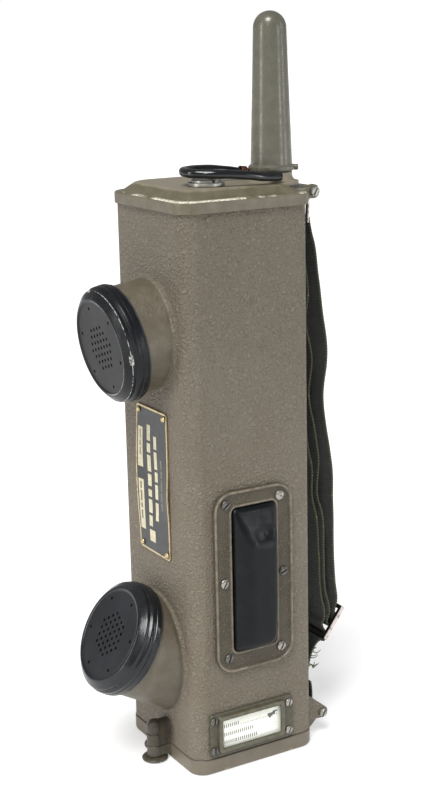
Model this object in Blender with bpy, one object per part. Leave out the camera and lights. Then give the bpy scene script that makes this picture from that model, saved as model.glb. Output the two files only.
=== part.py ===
"""Handheld military radio transceiver with earpiece, mouthpiece, press-to-talk switch,
telescopic aerial under a screw-on cap, hinged battery cover and webbing hand strap.

Frame: origin on the case axis at floor level, +Z up, earpiece side towards -Y,
press-to-talk side towards +X, strap side towards +Y. Dimensions below are in
millimetres; meshes are stored in metres.
"""
import math

import bmesh
import bpy
from mathutils import Matrix, Vector

MM = 0.001
GAP = 0.3                      # clearance left between touching pieces
SHARP_ANGLE = math.radians(34)

# Case: a drawn tube with rounded corners
CASE_W = 76.5
CASE_D = 75.1
CASE_R = 8.4
CASE_WALL = 2.0
CASE_BOTTOM = 9.3
CASE_TOP = 304.3
CORNER_STEPS = 4

# Bottom cover tray
COVER_OVERHANG = 0.4
COVER_TOP = 9.0
COVER_WALL = 2.2

# Top cover casting
LID_OVERHANG = 1.4
LID_RIM_LOW = 300.0
LID_RIM_HIGH = 306.3
LID_TOP = 311.1
LID_SEAT = 305.6

# Aerial, its neck and its cap
AERIAL_X = 18.0
AERIAL_Y = 26.5
NECK_R = 10.7
NECK_TOP = 316.0
CAP_BOTTOM = 316.4
CAP_TOP = 396.0
CAP_TOP_R = 8.4
CAP_BEAD_R = 11.9
AERIAL_FOOT = 84.0
AERIAL_TUBE_TOP = 321.0
SECTION_OUTER = (4.5, 3.6, 2.7, 1.8)
SECTION_WALL = 0.55
SECTION_TOPS = (323.0, 326.0, 329.0, 332.0)
TIP_R = 3.3
TIP_TOP = 340.0

# Earpiece and mouthpiece: rim centre (y, z) and tilt of the axis above horizontal
EAR_RIM = (-54.6, 233.25)
EAR_TILT = -8.85
MOUTH_RIM = (-57.6, 71.03)
MOUTH_TILT = 29.57
POT_R = 28.6
POT_BASE_R = 29.9
SPIGOT_R = 27.8
BORE_R = 24.0
HOLE_PITCH = 3.85
HOLE_R = 0.9
HOLE_RINGS = 3
OUTER_HOLE_RADIUS = 20.7
OUTER_HOLE_R = 1.1
EAR_HOLE_TURN = 18.0
MOUTH_HOLE_TURN = 38.0

# Press-to-talk bezel and boot, on the +X face (y, z)
PTT_Y = -1.2
PTT_Z = 106.6
BEZEL_W = 47.5
BEZEL_H = 99.8
OPENING_W = 26.6
OPENING_H = 79.4
PTT_TRAVEL = 2.5

# Battery label frame, on the +X face (y, z)
LABEL_LOW = (-29.8, 10.3)
LABEL_HIGH = (22.3, 35.0)
LABEL_VIEW_Y = (-22.4, 13.7)
LABEL_VIEW_Z = (15.0, 30.6)

# Nameplate on the front face (x, z)
PLATE_LOW = (-16.2, 116.0)
PLATE_HIGH = (16.8, 195.8)
PLATE_T = 0.7
RIVET_INSET = 2.8
RIVET_HOLE_R = 1.1

# Screw holes of the bezel and the label frame
SCREW_HOLE_R = 1.6
SCREW_SHANK_R = 1.2

# Strap pins and links (y, z), strap width
TOP_PIN = (49.5, 304.3)
HINGE_PIN = (48.0, 13.2)
PIN_R = 1.5
PIN_HOLE_R = 1.9
STRAP_HALF = 15.5
STRAP_T = 1.8
LINK_BAR = (48.9, 288.7)
BUCKLE_MID = (64.5, 58.7)
BUCKLE_DOWN = (-0.6, -0.8)     # unit direction from its top bar to its lower bar
BUCKLE_OUT = (0.8, -0.6)

# Latch at the foot of the front face
LATCH_X = 5.3
LATCH_Y = -45.4
LATCH_BOSS_R = 4.3
LATCH_WEB = 4.0               # half width
LATCH_PIN_Z = 6.2

# Retaining loop at the foot of the aerial cap
LOOP_R = 2.3
LOOP_PIVOT_Y = 21.5
LOOP_PIVOT_Z = 314.5
PLUG_X = 17.0
PLUG_Y = -11.8
PLUG_R = 9.4

# Local axes: outline (x, y) to (Y, Z) with depth along +X, and to (X, Z) with depth along -Y
SIDE = Matrix(((0, 0, 1, 0), (1, 0, 0, 0), (0, 1, 0, 0), (0, 0, 0, 1)))
FRONT = Matrix(((1, 0, 0, 0), (0, 0, -1, 0), (0, 1, 0, 0), (0, 0, 0, 1)))


# ---------------------------------------------------------------- materials

def material(name, colour, roughness, metallic=0.0):
    """A plain Principled material, made once for each name."""
    found = bpy.data.materials.get(name)
    if found:
        return found
    made = bpy.data.materials.new(name)
    made.use_nodes = True
    shader = made.node_tree.nodes["Principled BSDF"]
    shader.inputs["Base Color"].default_value = (*colour, 1.0)
    shader.inputs["Roughness"].default_value = roughness
    shader.inputs["Metallic"].default_value = metallic
    return made


def olive_paint():
    return material("olive_paint", (0.165, 0.145, 0.105), 0.55)


def black_plastic():
    return material("black_plastic", (0.03, 0.032, 0.035), 0.35)


def black_rubber():
    return material("black_rubber", (0.022, 0.024, 0.026), 0.6)


def steel():
    return material("steel", (0.50, 0.49, 0.46), 0.35, 1.0)


def brass():
    return material("brass", (0.66, 0.52, 0.25), 0.35, 1.0)


def webbing():
    return material("webbing", (0.018, 0.024, 0.014), 0.9)


def card():
    return material("card", (0.86, 0.87, 0.80), 0.7)


def clear_sheet():
    return material("clear_sheet", (0.8, 0.8, 0.75), 0.1)


def glass():
    return material("glass", (0.55, 0.60, 0.60), 0.1)


def board():
    return material("board", (0.22, 0.12, 0.06), 0.6)


def battery_wrap():
    return material("battery_wrap", (0.36, 0.27, 0.16), 0.75)


def aluminium():
    return material("aluminium", (0.62, 0.62, 0.62), 0.4, 1.0)


# ---------------------------------------------------------------- outlines

def arc(centre, radius, start, end, steps):
    """Points on an arc from start to end, in degrees, both ends included."""
    points = []
    for i in range(steps + 1):
        angle = math.radians(start + (end - start) * i / steps)
        points.append((centre[0] + radius * math.cos(angle), centre[1] + radius * math.sin(angle)))
    return points


def rounded_rectangle(width, height, radius, centre=(0.0, 0.0), steps=CORNER_STEPS):
    """Counter-clockwise outline of a rectangle with round corners."""
    points = []
    for sx, sy, start in ((1, 1, 0), (-1, 1, 90), (-1, -1, 180), (1, -1, 270)):
        corner = (centre[0] + sx * (width / 2 - radius), centre[1] + sy * (height / 2 - radius))
        points += arc(corner, radius, start, start + 90, steps)
    return points


def smooth_path(points, steps):
    """Catmull-Rom curve through the points, with the given steps for each span."""
    vectors = [Vector(p) for p in points]
    ends = [vectors[0] * 2 - vectors[1]] + vectors + [vectors[-1] * 2 - vectors[-2]]
    path = []
    for a, b, c, d in zip(ends, ends[1:], ends[2:], ends[3:]):
        for i in range(steps):
            t = i / steps
            path.append(0.5 * (2 * b + (c - a) * t + (2 * a - 5 * b + 4 * c - d) * t * t
                               + (3 * b - 3 * c + d - a) * t * t * t))
    path.append(vectors[-1])
    return path


# ---------------------------------------------------------------- solids

def prism(outline, low, high, place=None):
    """A flat outline swept from z = low to z = high, then placed."""
    bm = bmesh.new()
    floor = [bm.verts.new((x, y, low)) for x, y in outline]
    roof = [bm.verts.new((x, y, high)) for x, y in outline]
    bm.faces.new(floor[::-1])
    bm.faces.new(roof)
    for i in range(len(outline)):
        j = (i + 1) % len(outline)
        bm.faces.new((floor[i], floor[j], roof[j], roof[i]))
    if place:
        bmesh.ops.transform(bm, matrix=place, verts=bm.verts)
    return bm


def box(low, high):
    """An axis-aligned block between two corners."""
    bm = bmesh.new()
    bmesh.ops.create_cube(bm, size=1.0)
    size = Vector(high) - Vector(low)
    bmesh.ops.scale(bm, vec=size, verts=bm.verts)
    bmesh.ops.translate(bm, vec=(Vector(high) + Vector(low)) / 2, verts=bm.verts)
    return bm


def soft_box(low, high, bevel, segments=2):
    """A block with rounded edges."""
    bm = box(low, high)
    bmesh.ops.bevel(bm, geom=bm.edges[:], offset=bevel, segments=segments, profile=0.5,
                    affect="EDGES", clamp_overlap=True)
    return bm


def turned(profile, segments=24, place=None, ring=False):
    """A (radius, height) profile spun about Z; a ring profile closes on itself."""
    bm = bmesh.new()
    verts = [bm.verts.new((r, 0.0, z)) for r, z in profile]
    edges = [bm.edges.new(pair) for pair in zip(verts, verts[1:])]
    if ring:
        edges.append(bm.edges.new((verts[-1], verts[0])))
    bmesh.ops.spin(bm, geom=verts + edges, axis=(0, 0, 1), cent=(0, 0, 0),
                   angle=2 * math.pi, steps=segments, use_merge=True)
    bmesh.ops.remove_doubles(bm, verts=bm.verts, dist=0.0005)
    if place:
        bmesh.ops.transform(bm, matrix=place, verts=bm.verts)
    return bm


def lofted(rings, closed=False):
    """Skin over rings of equal length: capped at both ends, or joined round into a tube ring."""
    bm = bmesh.new()
    loops = [[bm.verts.new(p) for p in ring] for ring in rings]
    pairs = list(zip(loops, loops[1:]))
    if closed:
        pairs.append((loops[-1], loops[0]))
    else:
        bm.faces.new(loops[0][::-1])
        bm.faces.new(loops[-1])
    for lower, upper in pairs:
        for i in range(len(lower)):
            j = (i + 1) % len(lower)
            bm.faces.new((lower[i], lower[j], upper[j], upper[i]))
    return bm


def swept_tube(path, radius, sides=10):
    """A round bar along a path of points, with flat ends."""
    rings = []
    side = Vector((0, 0, 1))
    for i, point in enumerate(path):
        ahead = path[min(i + 1, len(path) - 1)] - path[max(i - 1, 0)]
        ahead.normalize()
        side = (side - ahead * side.dot(ahead)).normalized()
        other = ahead.cross(side)
        ring = []
        for k in range(sides):
            angle = 2 * math.pi * k / sides
            ring.append(point + radius * (side * math.cos(angle) + other * math.sin(angle)))
        rings.append(ring)
    return lofted(rings)


def ribbon(path, thickness, half_width):
    """Webbing: a (y, z) centre line given its thickness and spread along X."""
    left = []
    right = []
    for i, point in enumerate(path):
        ahead = path[min(i + 1, len(path) - 1)] - path[max(i - 1, 0)]
        ahead.normalize()
        normal = Vector((-ahead.y, ahead.x)) * thickness / 2
        left.append(tuple(point + normal))
        right.append(tuple(point - normal))
    return prism(left + right[::-1], -half_width, half_width, SIDE)


def bent_plate(path, thickness, low, high):
    """A sheet bent along a (y, z) line, from x = low to x = high."""
    bm = ribbon(path, thickness, (high - low) / 2)
    bmesh.ops.translate(bm, vec=((high + low) / 2, 0, 0), verts=bm.verts)
    return bm


def at(x, y, z=0.0):
    return Matrix.Translation((x, y, z))


def along_x(y, z):
    """Places a turned body so that its axis runs along +X through (y, z)."""
    return Matrix.Translation((0, y, z)) @ SIDE


def aimed(rim, tilt):
    """Frame with its origin at a rim centre and local Z out of the case along the tilt."""
    angle = math.radians(tilt)
    c = math.cos(angle)
    s = math.sin(angle)
    return Matrix(((1, 0, 0, 0), (0, s, -c, rim[0]), (0, c, s, rim[1]), (0, 0, 0, 1)))


def cylinder(radius, low, high, place=None, segments=16):
    return turned(((0, high), (radius, high), (radius, low), (0, low)), segments, place)


def tube(outer, inner, low, high, place=None, segments=20):
    return turned(((inner, high), (outer, high), (outer, low), (inner, low)), segments, place, True)


# ---------------------------------------------------------------- objects

def solid(name, bm, finish, origin=(0.0, 0.0, 0.0)):
    """Turns a body in millimetres into a named object whose origin is where it is asked."""
    bmesh.ops.recalc_face_normals(bm, faces=bm.faces)
    bmesh.ops.translate(bm, vec=-Vector(origin), verts=bm.verts)
    bmesh.ops.scale(bm, vec=(MM, MM, MM), verts=bm.verts)
    mesh = bpy.data.meshes.new(name)
    bm.to_mesh(mesh)
    bm.free()
    mesh.materials.append(finish)
    mesh.shade_smooth()
    mesh.set_sharp_from_angle(angle=SHARP_ANGLE)
    obj = bpy.data.objects.new(name, mesh)
    obj.location = Vector(origin) * MM
    bpy.context.scene.collection.objects.link(obj)
    return obj


def shape_with(obj, operation, bodies):
    """Joins bodies to an object, or cuts them out of it, by exact Booleans."""
    for i, bm in enumerate(bodies):
        tool = solid(f"{obj.name}_{operation.lower()}_{i}", bm, obj.data.materials[0])
        tool.hide_render = True
        tool.display_type = "WIRE"
        modifier = obj.modifiers.new(f"{operation.lower()}_{i}", "BOOLEAN")
        modifier.operation = operation
        modifier.solver = "EXACT"
        modifier.object = tool
    return obj


def slotted_screw(name, place, head_r, head_h, shank_r, shank_l, turn=0.0, finish=None):
    """Round-head screw along local Z, seated with its head's underside at z = 0."""
    profile = ((0, head_h), (head_r * 0.7, head_h * 0.86), (head_r * 0.96, head_h * 0.4),
               (head_r, 0), (shank_r, 0), (shank_r, -shank_l), (0, -shank_l))
    screw = solid(name, turned(profile, 10, place), finish or steel())
    slot_w = head_r * 0.16
    slot = box((-head_r * 1.2, -slot_w, head_h * 0.45), (head_r * 1.2, slot_w, head_h * 1.5))
    bmesh.ops.transform(slot, matrix=place @ Matrix.Rotation(math.radians(turn), 4, "Z"), verts=slot.verts)
    return shape_with(screw, "DIFFERENCE", [slot])


# ---------------------------------------------------------------- case

def case_ring(inset, level):
    points = rounded_rectangle(CASE_W - 2 * inset, CASE_D - 2 * inset, CASE_R - inset)
    return [Vector((x, y, level)) for x, y in points]


def pot(rim, tilt):
    """A round pot that carries an earpiece or mouthpiece cap, blended into the front wall."""
    frame = aimed(rim, tilt)
    outward = frame.to_3x3() @ Vector((0, 0, 1))
    foot_y = -CASE_D / 2 + 0.7
    segments = 28
    shoulder = -1.4
    rings = []
    for radius, depth in ((SPIGOT_R, 6.0), (SPIGOT_R, shoulder)):
        rings.append([frame @ Vector((radius * math.cos(a), radius * math.sin(a), depth))
                      for a in (2 * math.pi * k / segments for k in range(segments))])
    for fraction, swell in ((0.0, 0.0), (0.6, 0.1), (0.82, 0.35), (0.93, 0.65), (1.0, 1.0)):
        ring = []
        for k in range(segments):
            angle = 2 * math.pi * k / segments
            across = Vector((math.cos(angle), math.sin(angle), 0))
            start = frame @ (across * POT_R + Vector((0, 0, shoulder)))
            reach = (foot_y - start.y) / -outward.y
            point = start - outward * reach * fraction
            spread = (POT_BASE_R - POT_R) * swell
            ring.append(point + Vector((across.x, 0, across.y)) * spread)
        rings.append(ring)
    return lofted(rings)


def ear_lug(pin, radius, low_x, high_x, upper, lower, sweep):
    """A teardrop lug in the YZ plane: two points in the wall and a round end about a pin.

    sweep is the start angle, end angle and step count of the round end.
    """
    return prism([upper] + arc(pin, radius, *sweep) + [lower], low_x, high_x, SIDE)


def make_case():
    rings = [case_ring(0, CASE_BOTTOM), case_ring(0, CASE_TOP),
             case_ring(CASE_WALL, CASE_TOP), case_ring(CASE_WALL, CASE_BOTTOM)]
    case = solid("case_shell", lofted(rings, closed=True), olive_paint())
    lugs = []
    for side in (-1, 1):
        x_low, x_high = sorted((side * 26.0, side * 30.0))
        lugs.append(ear_lug(HINGE_PIN, 3.6, x_low, x_high, (36.9, 27.0), (36.9, 10.4), (42, -85, 8)))
    boss = turned(((0, 23.4), (2.4, 22.9), (3.8, 21.4), (LATCH_BOSS_R, 19.4),
                   (LATCH_BOSS_R, CASE_BOTTOM), (0, CASE_BOTTOM)), 20, at(LATCH_X, LATCH_Y))
    web = soft_box((LATCH_X - LATCH_WEB, LATCH_Y, CASE_BOTTOM), (LATCH_X + LATCH_WEB, -36.9, 21.5), 0.6, 1)
    shape_with(case, "UNION", [pot(EAR_RIM, EAR_TILT), pot(MOUTH_RIM, MOUTH_TILT), boss, web] + lugs)
    cuts = [cylinder(BORE_R, -30.0, 8.0, aimed(EAR_RIM, EAR_TILT), 28),
            cylinder(BORE_R, -34.0, 8.0, aimed(MOUTH_RIM, MOUTH_TILT), 28),
            prism(rounded_rectangle(OPENING_W + 1.0, OPENING_H + 1.0, 3.0, (PTT_Y, PTT_Z + 1.0), 3),
                  CASE_W / 2 - 4, CASE_W / 2 + 2, SIDE),
            cylinder(2.9, CASE_BOTTOM - 1, 19.0, at(LATCH_X, LATCH_Y)),
            cylinder(PIN_HOLE_R, -32.0, 32.0, along_x(*HINGE_PIN))]
    for y, z, _ in bezel_screw_places() + label_screw_places():
        cuts.append(cylinder(SCREW_HOLE_R, CASE_W / 2 - 4, CASE_W / 2 + 2, along_x(y, z), 8))
    for x, z in rivet_places():
        cuts.append(cylinder(RIVET_HOLE_R, CASE_D / 2 - 4, CASE_D / 2 + 2, FRONT @ at(x, z), 8))
    return shape_with(case, "DIFFERENCE", cuts)


# ---------------------------------------------------------------- bottom cover

def cover_ring(inset, level):
    grow = 2 * COVER_OVERHANG
    points = rounded_rectangle(CASE_W + grow - 2 * inset, CASE_D + grow - 2 * inset,
                               CASE_R + COVER_OVERHANG - inset * 0.8)
    return [Vector((x, y, level)) for x, y in points]


def latch_pin_frame():
    """Frame on the latch axis with local Z towards -X, along the pin in the cover's barrel."""
    return at(LATCH_X, LATCH_Y, LATCH_PIN_Z) @ SIDE @ Matrix.Rotation(math.pi, 4, "X")


def make_bottom_cover(pivot):
    rings = [cover_ring(2.2, 0.0), cover_ring(0.8, 0.5), cover_ring(0.0, 2.0), cover_ring(0.0, COVER_TOP),
             cover_ring(COVER_WALL, COVER_TOP), cover_ring(COVER_WALL, 2.4)]
    cover = solid("bottom_cover", lofted(rings), olive_paint(), pivot)
    barrel = cylinder(LATCH_BOSS_R, 2.7, COVER_TOP, at(LATCH_X, LATCH_Y), 20)
    web = box((LATCH_X - LATCH_WEB, LATCH_Y, 2.7), (LATCH_X + LATCH_WEB, -36.6, COVER_TOP))
    knuckles = []
    for side in (-1, 1):
        low, high = sorted((side * 19.5, side * 25.7))
        outline = [(36.9, 1.8), (36.9, 8.4), (40.5, 8.6)] + arc(HINGE_PIN, 3.4, 170, -75, 9)
        outline += [(44.0, 4.4), (40.6, 1.8)]
        knuckles.append(prism(outline[::-1], low, high, SIDE))
    shape_with(cover, "UNION", [barrel, web] + knuckles)
    pin_hole = cylinder(1.5, 1.8, 9.0, latch_pin_frame(), 10)
    return shape_with(cover, "DIFFERENCE", [cylinder(2.4, 0.0, 12.0, at(LATCH_X, LATCH_Y)), pin_hole,
                                            cylinder(PIN_HOLE_R, -32.0, 32.0, along_x(*HINGE_PIN))])


def make_bottom_gasket(pivot):
    outer = COVER_WALL + GAP
    inner = outer + 2.0
    rings = [cover_ring(outer, 7.2), cover_ring(outer, COVER_TOP), cover_ring(inner, COVER_TOP),
             cover_ring(inner, 7.2)]
    return solid("bottom_gasket", lofted(rings, closed=True), black_rubber(), pivot)


def make_contact_strip(pivot):
    """Spring strip in the bottom cover that presses both batteries upwards."""
    path = [Vector(p) for p in ((-30, 3.1), (-26, 3.1), (-20, 10.6), (-16, 10.6), (-10, 3.1), (10, 3.1),
                                (16, 10.6), (20, 10.6), (26, 3.1), (30, 3.1))]
    bm = bent_plate(path, 0.5, 12.0, 24.0)
    bmesh.ops.rotate(bm, matrix=Matrix.Rotation(math.radians(90), 3, "Z"), verts=bm.verts)
    return solid("battery_contact_strip", bm, brass(), pivot)


def make_latch_screw():
    axis = (LATCH_X, LATCH_Y, 0)
    profile = ((0, 16.0), (1.6, 16.0), (2.0, 15.4), (2.0, 2.4), (5.8, 2.4), (6.9, 2.0), (7.2, 1.4),
               (7.0, 0.8), (6.3, 0.4), (0, 0.4))
    screw = solid("latch_screw", turned(profile, 24, at(*axis)), olive_paint(), axis)
    slot = box((LATCH_X - 10, LATCH_Y - 0.7, -1.0), (LATCH_X + 10, LATCH_Y + 0.7, 1.1))
    return shape_with(screw, "DIFFERENCE", [slot])


def make_latch_pin(pivot):
    profile = ((0, 2.9), (1.2, 2.9), (1.2, 4.9), (2.4, 4.9), (2.7, 5.4), (2.7, 7.6), (2.2, 8.2), (0, 8.2))
    return solid("latch_pin", turned(profile, 14, latch_pin_frame()), olive_paint(), pivot)


# ---------------------------------------------------------------- top cover

def lid_ring(inset, level, radius):
    grow = 2 * LID_OVERHANG
    points = rounded_rectangle(CASE_W + grow - 2 * inset, CASE_D + grow - 2 * inset, radius)
    return [Vector((x, y, level)) for x, y in points]


def make_top_cover():
    outer_r = CASE_R + LID_OVERHANG
    skirt = LID_OVERHANG - GAP
    rings = [lid_ring(10.0, 308.6, 9.0), lid_ring(6.0, LID_SEAT, 7.0), lid_ring(skirt, LID_SEAT, outer_r - skirt),
             lid_ring(skirt, LID_RIM_LOW, outer_r - skirt), lid_ring(0.2, LID_RIM_LOW, outer_r - 0.2),
             lid_ring(0.0, LID_RIM_LOW + 0.5, outer_r), lid_ring(0.0, LID_RIM_HIGH - 1.0, outer_r),
             lid_ring(0.4, LID_RIM_HIGH - 0.2, outer_r), lid_ring(1.2, LID_RIM_HIGH, outer_r),
             lid_ring(3.0, LID_RIM_HIGH + 0.3, outer_r), lid_ring(7.0, LID_TOP - 0.5, outer_r + 2.6),
             lid_ring(8.4, LID_TOP, outer_r + 3.0)]
    lid = solid("top_cover", lofted(rings), olive_paint())
    neck = turned(((0, 322.0), (8.4, 322.0), (8.6, 321.6), (8.6, NECK_TOP), (NECK_R, NECK_TOP), (NECK_R, 314.0),
                   (11.2, 312.6), (12.2, 311.4), (12.2, 309.4), (0, 309.4)), 26, at(AERIAL_X, AERIAL_Y))
    pegs = [cylinder(1.2, low, high, along_x(LOOP_PIVOT_Y, LOOP_PIVOT_Z), 10)
            for low, high in ((AERIAL_X + 7, 31.8), (4.2, AERIAL_X - 7))]
    lugs = []
    for side in (-1, 1):
        low, high = sorted((side * 19.0, side * 22.5))
        lugs.append(ear_lug(TOP_PIN, 3.7, low, high, (38.4, 306.0), (38.4, 300.8), (80, -95, 8)))
    shape_with(lid, "UNION", [neck] + pegs + lugs)
    return shape_with(lid, "DIFFERENCE", [cylinder(6.3, 300.0, 330.0, at(AERIAL_X, AERIAL_Y), 20),
                                          cylinder(6.9, 300.0, 330.0, at(PLUG_X, PLUG_Y), 20),
                                          cylinder(PIN_HOLE_R, -30.0, 30.0, along_x(*TOP_PIN))])


def make_top_gasket():
    low = CASE_TOP + GAP
    high = LID_SEAT - GAP
    rings = [case_ring(0.1, low), case_ring(0.1, high), case_ring(CASE_WALL + 1.0, high),
             case_ring(CASE_WALL + 1.0, low)]
    return solid("top_gasket", lofted(rings, closed=True), black_rubber())


def make_top_plug():
    profile = ((0, 314.6), (6.8, 314.6), (7.6, 314.2), (7.6, 313.1), (8.9, 313.0), (PLUG_R, 312.6),
               (PLUG_R, LID_TOP + GAP), (6.5, LID_TOP + GAP), (6.5, 302.0), (0, 302.0))
    plug = solid("top_plug", turned(profile, 22, at(PLUG_X, PLUG_Y)), steel())
    slot = box((PLUG_X - 12, PLUG_Y - 0.9, 313.2), (PLUG_X + 12, PLUG_Y + 0.9, 316))
    return shape_with(plug, "DIFFERENCE", [slot])


# ---------------------------------------------------------------- aerial

def make_aerial_cap():
    axis = (AERIAL_X, AERIAL_Y, CAP_BOTTOM)
    dome = [(r, CAP_TOP - CAP_TOP_R + z) for r, z in arc((0, 0), CAP_TOP_R, 75, 0, 5)]
    outer = [(0, CAP_TOP)] + dome + [(NECK_R, 320.0), (NECK_R + 0.1, 319.5), (CAP_BEAD_R, 319.0),
                                     (CAP_BEAD_R, 316.9), (CAP_BEAD_R - 0.5, CAP_BOTTOM)]
    inner = [(8.95, CAP_BOTTOM), (8.95, 323.0), (8.3, 323.6), (6.4, 386.0), (4.4, 391.6), (0, 393.2)]
    cap = solid("aerial_cap", turned(outer + inner, 26, at(AERIAL_X, AERIAL_Y)), olive_paint(), axis)
    turn = Matrix.Rotation(math.radians(58), 4, "Z")
    lug = cylinder(1.5, 10.5, 13.8, at(AERIAL_X, AERIAL_Y, 317.9) @ turn @ SIDE, 12)
    return shape_with(cap, "UNION", [lug])


def make_aerial():
    axis = (AERIAL_X, AERIAL_Y, AERIAL_FOOT)
    place = at(AERIAL_X, AERIAL_Y)
    guide = ((4.9, AERIAL_TUBE_TOP), (5.9, AERIAL_TUBE_TOP), (5.9, AERIAL_FOOT - 3), (4.9, AERIAL_FOOT - 3))
    solid("aerial_guide_tube", turned(guide, 20, place, True), brass(), axis)
    for i, (outer, top) in enumerate(zip(SECTION_OUTER, SECTION_TOPS)):
        foot = AERIAL_FOOT + i
        name = f"aerial_section_{i + 1}"
        if i < len(SECTION_OUTER) - 1:
            body = tube(outer, outer - SECTION_WALL, foot, top, place, 16)
        else:
            body = turned(((0, TIP_TOP), (TIP_R - 1.2, TIP_TOP - 0.4), (TIP_R, TIP_TOP - 2.0),
                           (TIP_R, top + 2.0), (TIP_R - 1.0, top + GAP), (outer, top + GAP),
                           (outer, foot), (0, foot)), 16, place)
        solid(name, body, brass(), axis)
    coil = ((6.3, 292.0), (8.7, 292.0), (8.7, 252.0), (6.3, 252.0))
    solid("aerial_loading_coil", turned(coil, 14, place, True), board(), (AERIAL_X, AERIAL_Y, 252.0))


# ---------------------------------------------------------------- retaining loop

def make_retaining_loop():
    route = ((31.6, 21.5, 314.5), (31.9, 14.0, 314.9), (31.6, 5.0, 316.2), (30.0, -5.0, 317.3),
             (26.0, -15.0, 317.6), (18.5, -22.0, 318.0), (10.5, -21.0, 318.3), (5.2, -13.0, 318.2),
             (3.2, -3.0, 317.8), (3.2, 7.0, 316.6), (3.9, 15.0, 315.3), (4.4, 21.5, 314.5))
    pivot = (AERIAL_X, LOOP_PIVOT_Y, LOOP_PIVOT_Z)
    path = smooth_path(route, 3)
    overrun = Vector((0, 1.9, 0))
    path = [path[0] + overrun] + path + [path[-1] + overrun]
    loop = solid("retaining_loop", swept_tube(path, LOOP_R, 8), black_rubber(), pivot)
    holes = [cylinder(1.5, low, high, along_x(LOOP_PIVOT_Y, LOOP_PIVOT_Z), 10)
             for low, high in ((26.0, 32.1), (3.9, 10.0))]
    return shape_with(loop, "DIFFERENCE", holes)


def make_loop_tie():
    """Wire binding round the far strand of the loop, near its end."""
    pivot = (AERIAL_X, LOOP_PIVOT_Y, LOOP_PIVOT_Z)
    centre = Vector((4.1, 17.7, 314.97))
    ahead = Vector((0.077, 1.0, -0.123)).normalized()
    place = Matrix.Translation(centre) @ ahead.to_track_quat("Z", "Y").to_matrix().to_4x4()
    rib = []
    for i in range(4):
        rib += [(LOOP_R + 0.95, 1.0 * i - 2.0), (LOOP_R + 0.65, 1.0 * i - 1.5)]
    profile = [(LOOP_R + GAP, 2.0), (LOOP_R + 0.65, 2.0)] + rib[::-1] + [(LOOP_R + GAP, -2.0)]
    return solid("loop_tie", turned(profile, 10, place, True), board(), pivot)


# ---------------------------------------------------------------- earpiece and mouthpiece

def cap_profile():
    """Outer side of a screw cap, front face to rear rim, then its inside."""
    outside = [(0, 11.0), (24.2, 11.0), (24.9, 11.7), (25.8, 11.7), (27.0, 10.4), (27.8, 9.0),
               (29.4, 8.0), (30.7, 5.0), (30.8, 0.6), (30.2, 0.0)]
    inside = [(28.2, 0.0), (28.2, 8.6), (0, 8.6)]
    return outside + inside


def hexagon_holes(turn):
    """Centres of a hexagonal hole pattern, and of the six holes outside it."""
    rotate = Matrix.Rotation(math.radians(turn), 2)
    centres = []
    for row in range(-HOLE_RINGS, HOLE_RINGS + 1):
        count = 2 * HOLE_RINGS + 1 - abs(row)
        for i in range(count):
            x = (i - (count - 1) / 2) * HOLE_PITCH
            centres.append((rotate @ Vector((x, row * HOLE_PITCH * math.sin(math.radians(60)))), HOLE_R))
    for k in range(6):
        angle = math.radians(turn + 30 + 60 * k)
        centres.append((Vector((math.cos(angle), math.sin(angle))) * OUTER_HOLE_RADIUS, OUTER_HOLE_R))
    return centres


def many_cylinders(centres, low, high, place, segments):
    """All hole cutters of one pattern in a single mesh."""
    bm = bmesh.new()
    for centre, radius in centres:
        matrix = place @ Matrix.Translation((centre.x, centre.y, (low + high) / 2))
        bmesh.ops.create_cone(bm, cap_ends=True, segments=segments, radius1=radius, radius2=radius,
                              depth=high - low, matrix=matrix)
    return bm


def make_receiver(prefix, rim, tilt, turn):
    place = aimed(rim, tilt)
    cap = solid(f"{prefix}_cap", turned(cap_profile(), 32, place), black_plastic())
    shape_with(cap, "DIFFERENCE", [many_cylinders(hexagon_holes(turn), 7.0, 13.0, place, 6)])
    gasket = ((28.1, -0.3), (30.2, -0.3), (30.2, -1.1), (28.1, -1.1))
    solid(f"{prefix}_gasket", turned(gasket, 24, place, True), black_rubber())
    capsule = ((0, 7.9), (15.0, 7.9), (22.0, 7.4), (23.4, 6.4), (23.4, -3.0), (20.0, -4.2), (9.0, -4.6),
               (8.0, -8.0), (0, -8.0))
    solid(f"{prefix}_capsule", turned(capsule, 18, place), aluminium())


# ---------------------------------------------------------------- nameplate

def rivet_places():
    return [(x, z) for x in (PLATE_LOW[0] + RIVET_INSET, PLATE_HIGH[0] - RIVET_INSET)
            for z in (PLATE_LOW[1] + RIVET_INSET, PLATE_HIGH[1] - RIVET_INSET)]


def make_nameplate():
    width = PLATE_HIGH[0] - PLATE_LOW[0]
    height = PLATE_HIGH[1] - PLATE_LOW[1]
    centre = ((PLATE_HIGH[0] + PLATE_LOW[0]) / 2, (PLATE_HIGH[1] + PLATE_LOW[1]) / 2)
    low = CASE_D / 2 + GAP
    outline = rounded_rectangle(width, height, 2.2, centre, 3)
    plate = solid("nameplate", prism(outline, low, low + PLATE_T, FRONT), brass())
    holes = [cylinder(RIVET_HOLE_R, low - 1, low + 2, FRONT @ at(x, z), 8) for x, z in rivet_places()]
    shape_with(plate, "DIFFERENCE", holes)
    seat = low + PLATE_T + GAP
    for i, (x, z) in enumerate(rivet_places()):
        profile = ((0, 0.9), (0.9, 0.7), (1.6, 0), (0.75, 0), (0.75, -4.2), (0, -4.2))
        solid(f"nameplate_rivet_{i + 1}", turned(profile, 12, FRONT @ at(x, z, seat)), brass())


# ---------------------------------------------------------------- press-to-talk switch

def side_ring(width, height, radius, centre, level):
    points = rounded_rectangle(width, height, radius, centre, 5)
    return [Vector((level, y, z)) for y, z in points]


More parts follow.
